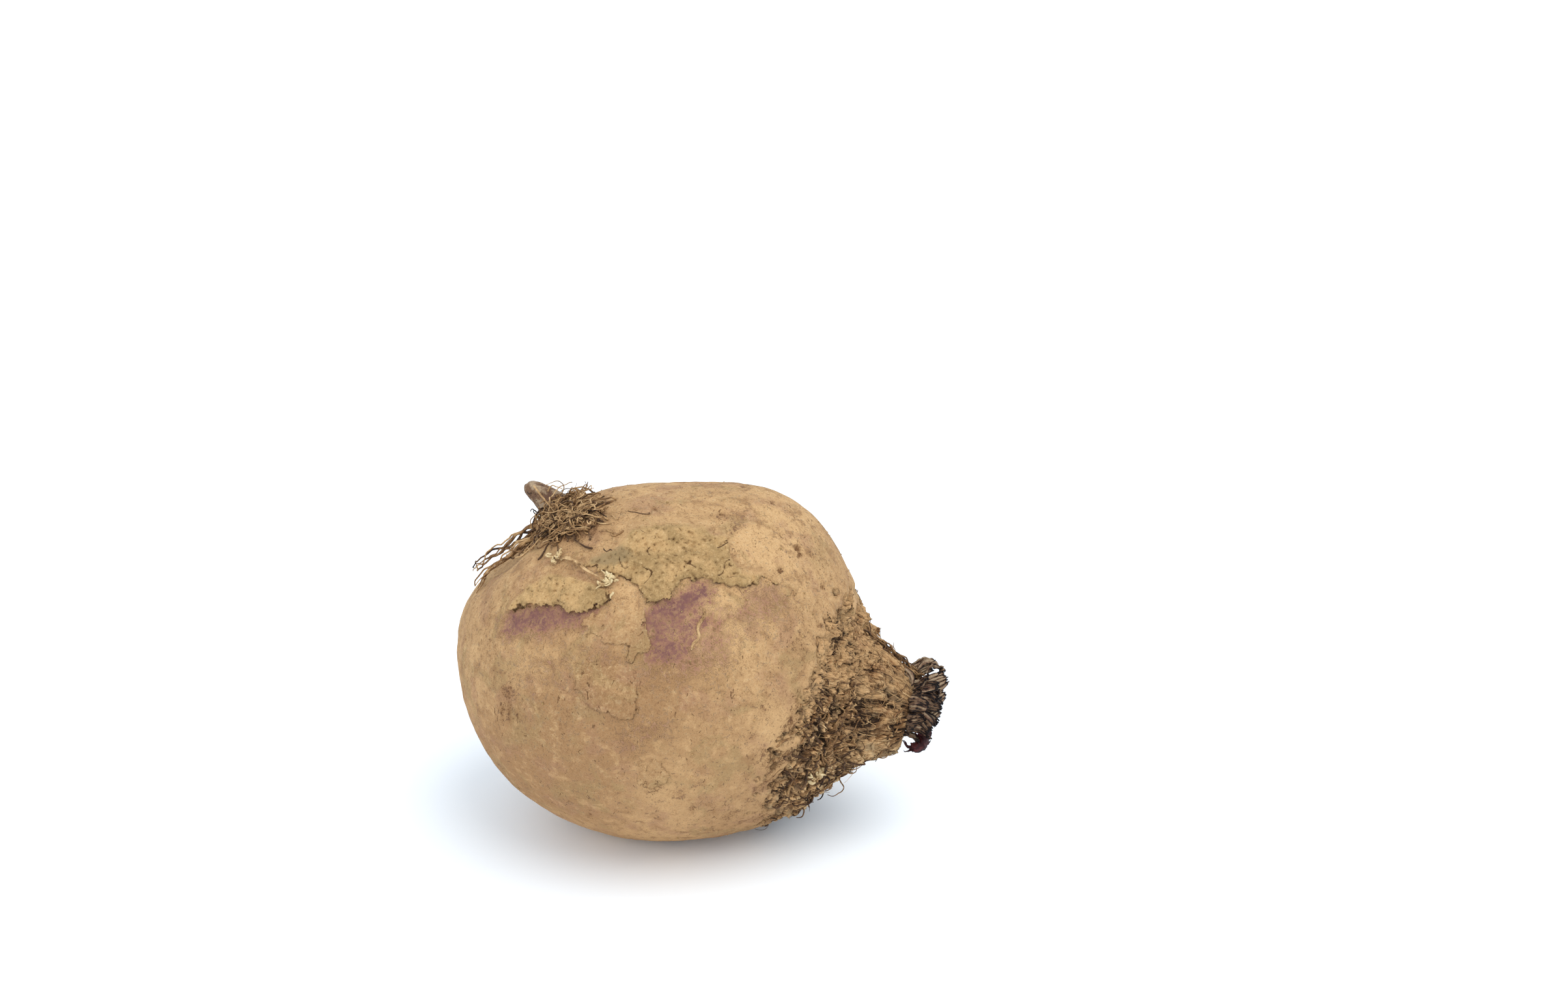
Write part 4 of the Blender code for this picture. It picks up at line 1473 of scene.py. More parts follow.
@dataclass
class Crust:
    """A flake of dried soil: ragged, cracked, steep at its lower edge, and thinning out at its upper one."""

    name: str
    outline: tuple[tuple[float, float], ...]
    thickness: float
    sight: Sight = SIGHT
    cell: float = 0.24
    fade: float = 0.0
    raggedness: float = 0.7
    sunk: float = 0.5 * MM
    proud: float = 0.24 * MM
    stands_for: str = ""
    seed: int = SEED
    merged: float = 0.0

    def upper_gap(self, flat: np.ndarray) -> np.ndarray:
        """How far points are below the outline's upper edge, straight up it, in millimetres.

        Args:
            flat: sighted (right, up) places, one a row.

        Returns:
            One distance a place.
        """
        corners = np.array(self.outline)
        top = np.full(len(flat), -1e9)
        for start, end in zip(corners, np.roll(corners, -1, axis=0)):
            low, high = sorted((start[0], end[0]))
            spans = (flat[:, 0] >= low) & (flat[:, 0] <= high) & (high - low > 1e-6)
            share = (flat[:, 0] - start[0]) / (end[0] - start[0]) if end[0] != start[0] else 0.0
            top = np.where(spans, np.maximum(top, start[1] + share * (end[1] - start[1])), top)
        return top - flat[:, 1]

    def build(self) -> Piece:
        """The flake's mesh: a fine grid cut to the ragged outline, laid on the skin and thickened.

        Returns:
            The piece.
        """
        grain = Grain(self.seed)
        corners = np.array(self.outline)
        low, size = corners.min(0) - 1.5, np.ptp(corners, axis=0) + 3.0
        counts = [round(length / self.cell) for length in size]
        bpy.ops.mesh.primitive_grid_add(x_subdivisions=counts[0], y_subdivisions=counts[1], size=1)
        obj = bpy.context.object
        obj.name = obj.data.name = self.name

        def laid_flat() -> tuple[np.ndarray, np.ndarray, np.ndarray]:
            """The vertices' flat places, the same in space for the noise, and their gaps to the edge.

            Returns:
                The three arrays.
            """
            flat = low + (coordinates(obj)[:, :2] + 0.5) * size
            space = np.column_stack((flat, np.full(len(flat), self.seed * 3.1)))
            ragged = self.raggedness * (grain(space, 2.0) + 0.6 * grain(space, 0.8) + 0.4 * grain(space, 0.4))
            return flat, space, gap_inside(flat, self.outline) + ragged

        outside = laid_flat()[2] < 0
        only(obj)
        bpy.ops.object.mode_set(mode="EDIT")
        bpy.ops.mesh.select_mode(type="VERT")
        bpy.ops.mesh.select_all(action="DESELECT")
        bpy.ops.object.mode_set(mode="OBJECT")
        obj.data.vertices.foreach_set("select", outside)
        bpy.ops.object.mode_set(mode="EDIT")
        bpy.ops.mesh.delete(type="VERT")
        bpy.ops.object.mode_set(mode="OBJECT")
        flat, space, gap = laid_flat()
        gap = np.maximum(gap, 0)
        thin = np.zeros(len(flat))
        if self.fade:
            thin = 1 - smooth_step(0.2 * self.fade, self.fade, self.upper_gap(flat) + 0.8 * grain(space, 3.0))
        plates = grain(space + 4, 4.5)
        ledges = smooth_step(-0.04, 0.06, plates) + 0.6 * smooth_step(0.10, 0.16, grain(space, 2.2))
        pits = smooth_step(0.34, 0.5, grain(space + 9, 0.8))
        lumps = 0.62 + 0.30 * ledges + 0.34 * grain.layered(space, 2.0, 4) + 0.12 * grain(space + 2, 0.7)
        edge = 0.50 + 0.50 * smooth_step(0, 1.0, gap)
        height = self.thickness * edge * (lumps - 0.30 * pits) * (1 - 0.97 * thin)
        move_to(obj, FORM.on_skin(self.sight, flat, np.maximum(height, 0.02 * MM) + self.proud))
        mark(obj, "thin", np.maximum(thin, self.merged))
        # the flake takes the skin's darker and paler spots, with their painted shade and painted light
        mark(obj, "tint", Skin().tint(coordinates(obj) - FORM.middle) + 0.1)
        broken = 0.35 + 0.65 * smooth_step(-0.35, 0.35, grain(space + 7, 1.6))
        # how much painted shade darkens the pits, the cracks and the torn edge
        hollow = 0.28 * pits + 0.62 * broken * (1 - smooth_step(0.0, 0.8, gap)) - 0.15 * ledges
        cracks = smooth_step(0.05, 0.0, np.abs(plates + 0.02)) * smooth_step(-0.1, 0.3, grain(space, 3.0))
        hollow = np.maximum(hollow, 0.6 * cracks)
        mark(obj, "hollow", np.clip(hollow * (1 - thin) * (1 - 0.3 * self.merged), 0, 1))
        off = ((flat - np.array((-11.0, 21.6))) / np.array((5.5, 2.4))) ** 2
        mark(obj, "smooth", np.exp(-off.sum(1)) * (self.sight is SIGHT))
        apply_modifier(obj, "SOLIDIFY", thickness=self.thickness + self.sunk, offset=-1)
        return obj


SOIL_TOP = (
    (-20.4, 20.7), (-16.8, 22.7), (-12.9, 23.6), (-9.1, 26.0), (-5.5, 29.2), (-1.2, 30.6), (4.4, 30.4),
    (9.4, 29.2), (13.9, 27.0), (14.1, 22.5), (16.7, 19.9), (21.3, 18.4), (25.7, 16.5), (23.3, 14.8),
    (20.5, 16.5), (19.7, 14.8), (15.7, 14.2), (12.2, 15.0), (8.5, 16.2), (3.9, 15.6), (1.4, 12.2),
    (-3.1, 11.2), (-4.7, 15.0), (-8.6, 16.7), (-13.4, 18.8),
)  # fmt: skip
SOIL_SIDE = (
    (-32.4, 11.6), (-30.9, 14.0), (-28.0, 17.1), (-23.3, 19.2), (-19.0, 19.0), (-14.7, 17.2), (-10.2, 14.8),
    (-10.6, 12.1), (-14.1, 10.5), (-17.6, 9.6), (-20.7, 11.3), (-24.7, 11.6), (-28.3, 11.9), (-31.3, 10.6),
)  # fmt: skip
SOIL_ROUND = (
    (-18.5, -1.1), (-15.0, -0.1), (-11.5, 0), (-7.5, -1.0), (-5.8, -1.4), (-5.2, -4.9), (-5.6, -9.6),
    (-6.4, -12.4), (-9.1, -12.0), (-12.5, -10.8), (-15.2, -9.4), (-17.3, -7.3), (-17.9, -4.5),
)  # fmt: skip
SOIL_SMALL = ((-6.7, -23.6), (-5.3, -21.1), (-2.5, -20.1), (-0.4, -21.6), (0.9, -23.8), (-0.5, -25.6),
              (-2.6, -26.6), (-4.7, -26.2))  # fmt: skip
SOIL_MIDDLE = (
    (-17.0, 8.6), (-12.0, 10.4), (-7.0, 11.0), (-3.9, 10.2), (-3.6, 6.5), (-3.0, 3.2), (-4.0, 0.8),
    (-6.6, -0.6), (-8.0, 2.4), (-11.5, 3.6), (-15.0, 5.4),
)  # fmt: skip
SOIL_RIGHT = ((24.6, 12.4), (25.4, 14.8), (28.0, 15.6), (29.4, 14.0), (28.2, 12.6), (26.6, 12.9))
SOIL_BACK = ((-12, 9), (-4, 13), (6, 12), (13, 6), (10, -1), (3, -3), (-5, 0), (-13, 3))
SOIL_BACK_LOW = ((-9, -5), (-2, -3), (6, -6), (9, -11), (1, -13), (-7, -11))


@dataclass
class Soil:
    """All the dried soil: the two thick flakes, thin ones, and the crumbs between them."""

    crumb_count: int = 520
    crumb_radius: tuple[float, float] = (0.10 * MM, 0.34 * MM)
    crumb_kinds: int = 6
    crumb_flatness: float = 0.8
    crumb_lowest: float = 2 * MM

    def crusts(self) -> list[Crust]:
        """Every flake, the thick ones first.

        Returns:
            The flakes, not built yet.
        """
        back, far_side = Sight(18, 172), Sight(-6, 205)
        thick = {"cell": 0.2}
        thin = {"raggedness": 1.2, "merged": 0.8}
        hidden = {"cell": 0.28, "raggedness": 1.0}
        top, side = {"stands_for": "soil_plate_top", **thick}, {"stands_for": "soil_plate_side", **thick}
        # Name, outline, thickness in mm, fade, a number added to the seed, and the rest
        rows = (
            ("top", SOIL_TOP, 1.05, 4.2, 0, top),
            ("side", SOIL_SIDE, 1.0, 2.4, 1, side),
            ("round", SOIL_ROUND, 0.44, 6.0, 2, thin),
            ("middle", SOIL_MIDDLE, 0.46, 6.0, 8, thin),
            ("small", SOIL_SMALL, 0.4, 3.0, 3, thin),
            ("right", SOIL_RIGHT, 0.35, 2.5, 9, thin),
            ("back", SOIL_BACK, 0.6, 5.0, 4, {"sight": back, **hidden}),
            ("back_low", SOIL_BACK_LOW, 0.5, 3.0, 5, {"sight": far_side, **hidden}),
        )
        return [
            Crust(f"soil_crust_{name}", outline, thickness * MM, fade=fade, seed=SEED + number, **rest)
            for name, outline, thickness, fade, number, rest in rows
        ]

    def crumbs(self, surface: Surface) -> Piece:
        """Crumbs of soil, thickest round the crown's mat and the tail, each a dented ball of 20 faces.

        Args:
            surface: the skin that they lie on.

        Returns:
            The piece.
        """
        draw = random.Random(SEED + 6)
        kinds = []
        for _ in range(self.crumb_kinds):
            bpy.ops.mesh.primitive_ico_sphere_add(subdivisions=1, radius=1)
            kind = bpy.context.object
            for vertex in kind.data.vertices:
                vertex.co *= draw.uniform(0.6, 1.25)
            kinds.append(kind)
        anchors = [
            (Vector(FORM.crown_axis), 0.42, 0.45),
            (Vector(FORM.tail_line()[1] - FORM.middle).normalized(), 0.16, 0.2),
            (Vector(SIGHT.offset(0.1, 0.4, 0.8)).normalized(), 0.5, 0.2),
            (Vector((0, 0, 1)), 2.0, 0.15),
        ]
        copies = []
        for _ in range(self.crumb_count):
            anchor, spread, _ = draw.choices(anchors, [share for _, _, share in anchors])[0]
            way = anchor + jitter(draw, spread)
            radius = draw.triangular(*self.crumb_radius, self.crumb_radius[0])
            point, normal = surface.at(way, 0.2 * radius)
            if point.z < self.crumb_lowest:
                continue
            kind = draw.choice(kinds)
            turn = Matrix.Rotation(draw.uniform(0, math.tau), 4, normal)
            size = Matrix.Diagonal((radius, radius, radius * self.crumb_flatness, 1))
            copies.append(copied(kind, Matrix.Translation(point) @ turn @ size))
        return joined("soil_crumbs", copies, kinds)

    def build(self, surface: Surface, finish: Material) -> None:
        """Builds and dresses every flake and crumb.

        Args:
            surface: the skin that they lie on.
            finish: the dried soil.
        """
        for crust in self.crusts():
            finished(crust.build(), finish, crust.stands_for)
        finished(self.crumbs(surface), finish)


# Strands: fine roots, fibres, straws and hairs


@dataclass(frozen=True)
class Habit:
    """How a strand grows: its step, how it bends, and what draws it."""

    step: float = 1.0 * MM
    bend: float = 0.30
    steady: float = 0.55
    sag: float = 0.10
    hug: float = 0.16
    clearance: tuple[float, float] = (0.3 * MM, 2.4 * MM)


def grown(draw: random.Random, surface: Surface, start: Vector, heading: Vector, length: float, habit: Habit,
          pull: Vector = Vector(), home: tuple[Vector, float] | None = None) -> list[Vector]:
    """The path of one strand that winds over the skin.

    Args:
        draw: the random draw.
        surface: the skin that it stays clear of.
        start, heading, length: where it starts, which way, and how long it is.
        habit: how it grows.
        pull: a step added to its heading all along.
        home: a point, and the distance from it past which the strand turns back.

    Returns:
        The path's points.
    """
    points, turn = [start], Vector()
    clearance = draw.triangular(*habit.clearance, habit.clearance[0])
    for _ in range(max(2, round(length / habit.step))):
        turn = turn * habit.steady + jitter(draw, habit.bend)
        inward = (surface.middle - points[-1]).normalized() * habit.hug
        heading = heading + turn + inward + Vector((0, 0, -habit.sag)) + pull
        if home and (points[-1] - home[0]).length > home[1]:
            heading = heading + (home[0] - points[-1]).normalized() * 0.7
        heading.normalize()
        points.append(surface.clear(points[-1] + heading * habit.step, clearance))
    return points


def rounded(points: Sequence[Vector]) -> list[Vector]:
    """The path with a point added between every two, on a smooth curve through them all.

    Args:
        points: the path's points.

    Returns:
        The finer path's points.
    """
    ends = [points[0] * 2 - points[1], *points, points[-1] * 2 - points[-2]]
    path = []
    for before, here, there, after in zip(ends, ends[1:], ends[2:], ends[3:]):
        path += [here, (here + there) * 0.5625 - (before + after) * 0.0625]
    return [*path, points[-1]]


class Strands:
    """Many strands of one finish, made as one bevelled curve."""

    def __init__(self, name: str, sides: int = 6) -> None:
        """Adds the empty curve.

        Args:
            name: the piece's name.
            sides: how many sides each strand has.
        """
        bpy.ops.curve.primitive_nurbs_path_add()
        self.obj = bpy.context.object
        self.obj.name = self.obj.data.name = name
        self.obj.data.splines.clear()
        self.obj.data.bevel_depth = 1.0
        self.obj.data.bevel_resolution = sides // 2 - 2
        self.obj.data.use_fill_caps = True

    def lay(self, path: Sequence[Vector], radii: np.ndarray) -> None:
        """Adds a strand.

        Args:
            path: the points of its middle line.
            radii: its radius at each.
        """
        spline = self.obj.data.splines.new("POLY")
        spline.points.add(len(path) - 1)
        spline.points.foreach_set("co", np.column_stack((np.array(path), np.ones(len(path)))).ravel())
        spline.points.foreach_set("radius", radii)

    def add(self, points: Sequence[Vector], radius: float, tip: float = 0.5, root: float = 1.0) -> None:
        """Adds a strand that is smoothed along its length and thins at its ends.

        Args:
            points: the points that it goes through.
            radius: its greatest radius.
            tip, root: the shares of it that its ends have.
        """
        path = rounded(points)
        self.lay(path, radius * np.interp(np.linspace(0, 1, len(path)), (0, 0.25, 1), (root, 1, tip)))

    def mesh(self) -> Piece:
        """Turns the strands into one mesh.

        Returns:
            The mesh object.
        """
        only(self.obj)
        bpy.ops.object.convert(target="MESH")
        self.obj = bpy.context.object
        clean(self.obj)
        return self.obj


def guided(draw: random.Random, surface: Surface, places: Sequence[tuple[float, float, float]], count: int,
           around: float, turns: float, clearance: float) -> list[list[Vector]]:
    """The paths of strands that are twisted together along sighted places.

    Args:
        draw: the random draw.
        surface: the skin that they stay clear of.
        places: the sighted places that the twist follows.
        count: how many strands there are.
        around: how far they are from the twist's middle.
        turns: how many times they go round it.
        clearance: how far off the skin the middle is at least.

    Returns:
        One path for each strand.
    """
    middle = [FORM.point(*place) for place in places]
    middle = rounded(rounded(middle))
    side, rise = Vector(SIGHT.axes[1]), Vector(SIGHT.axes[2])
    paths = []
    for index in range(count):
        phase, wobble = math.tau * index / count + draw.uniform(-0.6, 0.6), draw.uniform(0.6, 1.5)
        path, drift = [], Vector()
        for step, point in enumerate(middle):
            turn = phase + math.tau * turns * step / len(middle)
            shift = side * math.cos(turn) + rise * math.sin(turn)
            drift = drift * 0.75 + jitter(draw, 0.35)
            path.append(surface.clear(point + (shift * wobble + drift) * around, clearance))
        paths.append(path)
    return paths


@dataclass
class Tail:
    """The root's tail: a withered cone, the tangle of fine roots on it, and the strands that trail away."""

    sides: int = 44
    wrinkle: float = 0.20 * MM
    tangle_count: int = 100
    under_count: int = 190
    mat_count: int = 300
    hair_count: int = 9
    root_radius: tuple[float, float] = (0.12 * MM, 0.25 * MM)
    tuft_middle: tuple[float, float] = (-20.0, 28.4)
    tuft_reach: tuple[float, float] = (9.6, 5.2)
    # Sighted places that the trailing twists follow
    trails: tuple = (
        ((-25.0, 29.5, 9.5), (-28.5, 28.3, 8.5), (-32.3, 25.6, 7.0), (-36.0, 23.8, 5.0), (-38.9, 21.7, 4.0),
         (-40.2, 20.6, 3.0)),
        ((-25.5, 26.5, 12.0), (-30.0, 24.6, 10.5), (-33.3, 22.0, 9.5), (-37.1, 19.6, 7.0),
         (-39.4, 16.4, 6.0)),
        ((-24.0, 25.4, 14.0), (-27.5, 24.6, 13.0), (-30.5, 23.4, 12.0), (-32.4, 23.6, 10.0)),
    )  # fmt: skip

    across_stub: tuple = ((-26.8, 37.9, 9.4), (-25.6, 36.2, 9.8), (-24.2, 34.4, 9.9), (-22.8, 32.6, 12.0),
                          (-22.0, 31.0, 14.0))  # fmt: skip

    def stub(self) -> Piece:
        """The tail's own body, wrinkled along its length and torn off at its tip.

        Returns:
            The piece.
        """
        line = [Vector(point) for point in FORM.tail_line()]
        for _ in range(3):
            line = rounded(line)
        share = np.linspace(0, len(FORM.tail_radii) - 1, len(line))
        radii = np.interp(share, range(len(FORM.tail_radii)), FORM.tail_radii)
        last = np.clip((np.linspace(0, 1, len(line)) - 0.88) / 0.12, 0, 1)
        radii *= np.sqrt(1.02 - last**2)
        body = Strands("tail_stub", self.sides)
        body.lay(line, radii)
        obj = body.mesh()
        apply_modifier(obj, "SUBSURF", subdivision_type="SIMPLE", levels=1, render_levels=1)
        places = coordinates(obj)
        grain = Grain(SEED + 10)
        run = np.array(line[-1] - line[0])
        along = (places - np.array(line[0])) @ (run / np.linalg.norm(run))
        spread = places - np.outer(along * 0.75, run / np.linalg.norm(run))
        normals = np.empty(len(places) * 3)
        obj.data.vertices.foreach_get("normal", normals)
        relief = grain.layered(spread, 1.5 * MM) + 0.4 * grain(places, 1.2 * MM)
        move_to(obj, places + normals.reshape(-1, 3) * (relief * self.wrinkle)[:, None])
        # how raised each wrinkle is, which the finish paints as shade in the dips and lighter on the crests
        mark(obj, "raised", np.clip(0.52 + 0.3 * relief, 0, 1))
        return obj

    def place_on_tail(self, along: float) -> tuple[Vector, Vector, float]:
        """The tail's middle, direction and radius at a place counted in its stretches.

        Args:
            along: the place, 0 at the tail's foot and 1 more at each point of its line.

        Returns:
            The middle, the unit direction towards the tip, and the radius.
        """
        line = [Vector(point) for point in FORM.tail_line()]
        index = min(int(along), len(line) - 2)
        share = along - index
        radius = FORM.tail_radii[index] * (1 - share) + FORM.tail_radii[index + 1] * share
        return line[index].lerp(line[index + 1], share), (line[index + 1] - line[index]).normalized(), radius

    def leave(self, draw: random.Random, places: tuple[float, float],
              towards: Vector) -> tuple[Vector, Vector]:
        """Where a fine root leaves the tail, and its heading.

        Args:
            draw: the random draw.
            places: the least and the most place along the tail.
            towards: the side that it leaves on.

        Returns:
            The root's start and heading.
        """
        middle, axis, radius = self.place_on_tail(draw.uniform(*places))
        outward = (towards - axis * towards.dot(axis)).normalized()
        return middle + outward * radius * 0.8, (outward + axis * draw.uniform(-0.4, 0.6)).normalized()

    def build(self, surface: Surface, skin: Material, tones: Sequence[Material]) -> None:
        """Builds and dresses the tail and its roots, in pale, tan and brown.

        Args:
            surface: the skin that they lie on.
            skin: the stub's finish.
            tones: the roots' finishes.
        """
        finished(self.stub(), skin)
        draw = random.Random(SEED + 11)
        kinds = [Strands(f"fine_roots_{tone}") for tone in ("pale", "tan", "brown")]

        def sighted(*place: float) -> Vector:
            """A direction given as a sighted place."""
            return Vector(SIGHT.offset(*place)).normalized()

        def one_root(start: Vector, heading: Vector, lengths: tuple[float, float], habit: Habit,
                     weights: tuple[int, int, int], pull: Vector = Vector(), thick: float = 1.0) -> None:
            """Grows one fine root and gives it a tone.

            Args:
                start, heading: where it starts, and which way.
                lengths: its least and greatest length in millimetres.
                habit: how it grows.
                weights: the tones' shares.
                pull: a step added to its heading all along.
                thick: its share of the usual radius.
            """
            path = grown(draw, surface, start, heading, draw.uniform(*lengths) * MM, habit, pull, home)
            radius = draw.triangular(*self.root_radius, self.root_radius[0]) * thick
            draw.choices(kinds, weights)[0].add(path, radius, 0.55, 1.1)

        def on_tuft(spread: float) -> Vector:
            """A drawn place on the skin under the tuft.

            Args:
                spread: how far the places spread, as a share of the tuft's reach.

            Returns:
                The place.
            """
            reaches = zip(self.tuft_middle, self.tuft_reach)
            right, up = (draw.gauss(middle, reach * spread) for middle, reach in reaches)
            near = math.sqrt(max(9.0, 37**2 - right**2 - up**2))
            return surface.at(Vector(SIGHT.offset(right, up, near)), 0.1 * MM)[0]

        home = (surface.at(Vector(SIGHT.offset(*self.tuft_middle, 12.5)))[0], self.tuft_reach[0] * MM)
        # dense dark roots under the tuft, darkened to paint the shade in its gaps
        close = Habit(0.7 * MM, 0.42, 0.55, 0.0, 0.35, (0.0, 0.5 * MM))
        for _ in range(self.under_count):
            place = on_tuft(0.50)
            one_root(place, sighted(draw.gauss(0, 1), draw.gauss(0, 1), 0.2), (4, 9), close, (0, 2, 6))
        matted = Habit(0.7 * MM, 0.20, 0.72, 0.0, 0.20, (0.1 * MM, 1.9 * MM))
        for _ in range(self.mat_count):
            heading = sighted(draw.gauss(0.1, 0.9), draw.gauss(-0.3, 0.8), 0.5)
            one_root(on_tuft(0.48), heading, (4, 12), matted, (7, 5, 1), sighted(0.2, -1, 0) * 0.05)
        down = sighted(0.15, -1.0, 0.5)
        loose = Habit(0.8 * MM, 0.24, 0.68, 0.0, 0.16, (0.4 * MM, 2.8 * MM))
        for _ in range(self.tangle_count):
            towards = sighted(draw.gauss(0.2, 0.7), draw.gauss(-0.5, 0.5), 1.0)
            leaving = self.leave(draw, (0.3, 2.3), towards)
            one_root(*leaving, (8, 18), loose, (6, 6, 1), down * draw.uniform(0.12, 0.4))
        for places, count in zip(self.trails, (5, 5, 4)):
            for path in guided(draw, surface, places, count, 0.75 * MM, draw.uniform(0.3, 0.9), 0.2 * MM):
                draw.choices(kinds, (3, 7, 1))[0].add(path, draw.uniform(0.19, 0.33) * MM, 0.45, 0.9)
        home = None
        stray = Habit(0.9 * MM, 0.22, 0.75, 0.02, 0.06, (0.3 * MM, 2.4 * MM))
        for _ in range(self.hair_count):
            towards = sighted(draw.gauss(0.8, 0.5), draw.gauss(0.3, 0.4), draw.gauss(0.8, 0.4))
            one_root(*self.leave(draw, (0.8, 2.4), towards), (4, 9), stray, (6, 3, 0), Vector(), 0.7)
        kinds[0].add([FORM.point(*place) for place in self.across_stub], 0.22 * MM)
        for strands, finish in zip(kinds, tones):
            finished(strands.mesh(), finish)


# The crown's mat


@dataclass
class CrownLitter:
    """The dead tissue on the crown: torn flakes, fibres, straws, hairs and shreds."""

    flake_kinds: int = 8
    flake_count: int = 900
    fibre_count: int = 1100
    thick_count: int = 280
    straw_count: int = 26
    hair_count: int = 60
    fray_places: tuple = (
        (31.5, -24.5, 15.6, 9), (-21.1, 21.4, 25.4, 8), (-10.6, 15.9, 33.2, 12),
    )  # fmt: skip
    strap: tuple = (
        (38.4, -11.6, 19.4), (37.7, -12.7, 19.7), (36.2, -13.6, 20.2), (35.4, -14.8, 20.4),
        (35.6, -16.6, 19.6),
        (34.7, -18.4, 18.7), (33.2, -19.8, 18.4), (32.5, -21.2, 18.2), (33.4, -23.5, 14.8),
    )  # fmt: skip

    upper_fibres: tuple = (
        (42.6, 5.6, 10.4), (44.6, 3.8, 9.6), (46.6, 2.3, 9.0), (48.9, 0.2, 8.4), (51.7, -2.2, 8.0),
        (54.4, -4.6, 8.0), (56.4, -6.0, 7.4),
    )  # fmt: skip

    def flake(self, draw: random.Random) -> Piece:
        """One torn flake, 1 wide and 1 long from its foot at the origin, curling up along +Z.

        Args:
            draw: the random draw.

        Returns:
            The piece.
        """
        bpy.ops.mesh.primitive_grid_add(x_subdivisions=4, y_subdivisions=3, size=1)
        obj = bpy.context.object
        places = coordinates(obj)
        across, along = places[:, 0], places[:, 1] + 0.5
        tips = np.array([draw.uniform(0.45, 1.15) for _ in range(7)])
        length = np.interp(across, np.linspace(-0.5, 0.5, 7), tips)
        curl, cup = draw.uniform(-0.5, 0.5), draw.uniform(-0.6, 0.6)
        narrow = 1 - draw.uniform(0.1, 0.6) * along
        rise = curl * along**2 + cup * (across**2) * (0.4 + along)
        rise += 0.10 * np.array([draw.gauss(0, 1) for _ in range(len(places))]) * along
        move_to(obj, np.column_stack((across * narrow, along * length, rise)))
        apply_modifier(obj, "SOLIDIFY", thickness=0.09, offset=0)
        return obj

    def on_crown(self, angle: float, turn: float) -> Vector:
        """The direction at an angle from the crown's axis in degrees, and a turn round it in radians.

        Args:
            angle: the angle from the axis.
            turn: the turn round it.

        Returns:
            The unit direction.
        """
        tilt = math.radians(angle)
        local = np.array((math.cos(turn) * math.sin(tilt), math.sin(turn) * math.sin(tilt), math.cos(tilt)))
        return Vector(FORM.crown_turned @ local)

    def draw_place(self, draw: random.Random, low: float, high: float) -> tuple[float, Vector]:
        """Draws a place on the mat.

        Args:
            draw: the random draw.
            low, high: the least and the most that it may be from the crown's axis, in degrees.

        Returns:
            Its angle from the axis, and its direction.
        """
        while True:
            angle, turn = draw.uniform(low, high), draw.uniform(0, math.tau)
            way = self.on_crown(angle, turn)
            if BORDER.share(np.array([way]))[0] > draw.uniform(0.15, 0.9):
                return angle, way

    def flakes(self, surface: Surface) -> Piece:
        """Every flake, low on the mat and pointing roughly to the crown's tip.

        Args:
            surface: the skin that they lie on.

        Returns:
            The piece.
        """
        draw = random.Random(SEED + 20)
        kinds = [self.flake(draw) for _ in range(self.flake_kinds)]
        axis, copies = Vector(FORM.crown_axis), []
        for _ in range(self.flake_count):
            angle, way = self.draw_place(draw, 9, 48)
            point, normal = surface.at(way, -0.12 * MM)
            out = (normal * 0.3 + way).normalized()
            tipward = (axis - out * axis.dot(out)).normalized()
            tipward = (tipward + jitter(draw, 0.7)).normalized()
            side = tipward.cross(out).normalized()
            lean = draw.uniform(-0.08, 0.11)
            tipward = (out.cross(side).normalized() + out * lean).normalized()
            out = side.cross(tipward).normalized()
            size = draw.triangular(0.5, 3.0, 0.8) * MM * (1.0 if angle < 30 else 0.65)
            width = size * draw.uniform(0.3, 1.1)
            turned = Matrix((side * width, tipward * size, out * size)).transposed().to_4x4()
            copy = copied(draw.choice(kinds), Matrix.Translation(point) @ turned)
            mark(copy, "raised", draw.triangular(0.0, 0.9, 0.42))
            mark(copy, "crown", 1.0)
            # painted shade on the lower flakes, and more dust film with painted light on the upper ones
            rise = way.dot(Vector(SIGHT.axes[1]))
            mark(copy, "lower_shade", 0.5 * max(0.0, min(1.0, -2 * rise)))
            mark(copy, "dusty", draw.uniform(0.2, 0.9) * max(0.0, min(1.0, 0.8 + 2 * rise)))
            copies.append(copy)
        return joined("crown_flakes", copies, kinds)

    def fibres(self, surface: Surface, kinds: Sequence[Strands]) -> None:
        """Fibres over the mat: along the crown near its tip, every way further out.

        Args:
            surface: the skin that they lie on.
            kinds: the strands in pale, tan and brown.
        """
        draw = random.Random(SEED + 21)
        axis = Vector(FORM.crown_axis)
        habit = Habit(0.8 * MM, 0.19, 0.6, 0.0, 0.6, (-0.06 * MM, 0.22 * MM))
        for _ in range(self.fibre_count):
            angle, way = self.draw_place(draw, 9, 47)
            point, normal = surface.at(way, 0.05 * MM)
            tipward = (axis - normal * axis.dot(normal)).normalized()
            round_it = tipward.cross(normal) * draw.choice((-1, 1))
            share = draw.uniform(0, 1) ** 1.2 if angle > 16 else draw.uniform(0, 0.4)
            heading = (tipward * (1 - share) + round_it * share).normalized()
            path = grown(draw, surface, point, heading, draw.uniform(2, 7) * MM, habit)
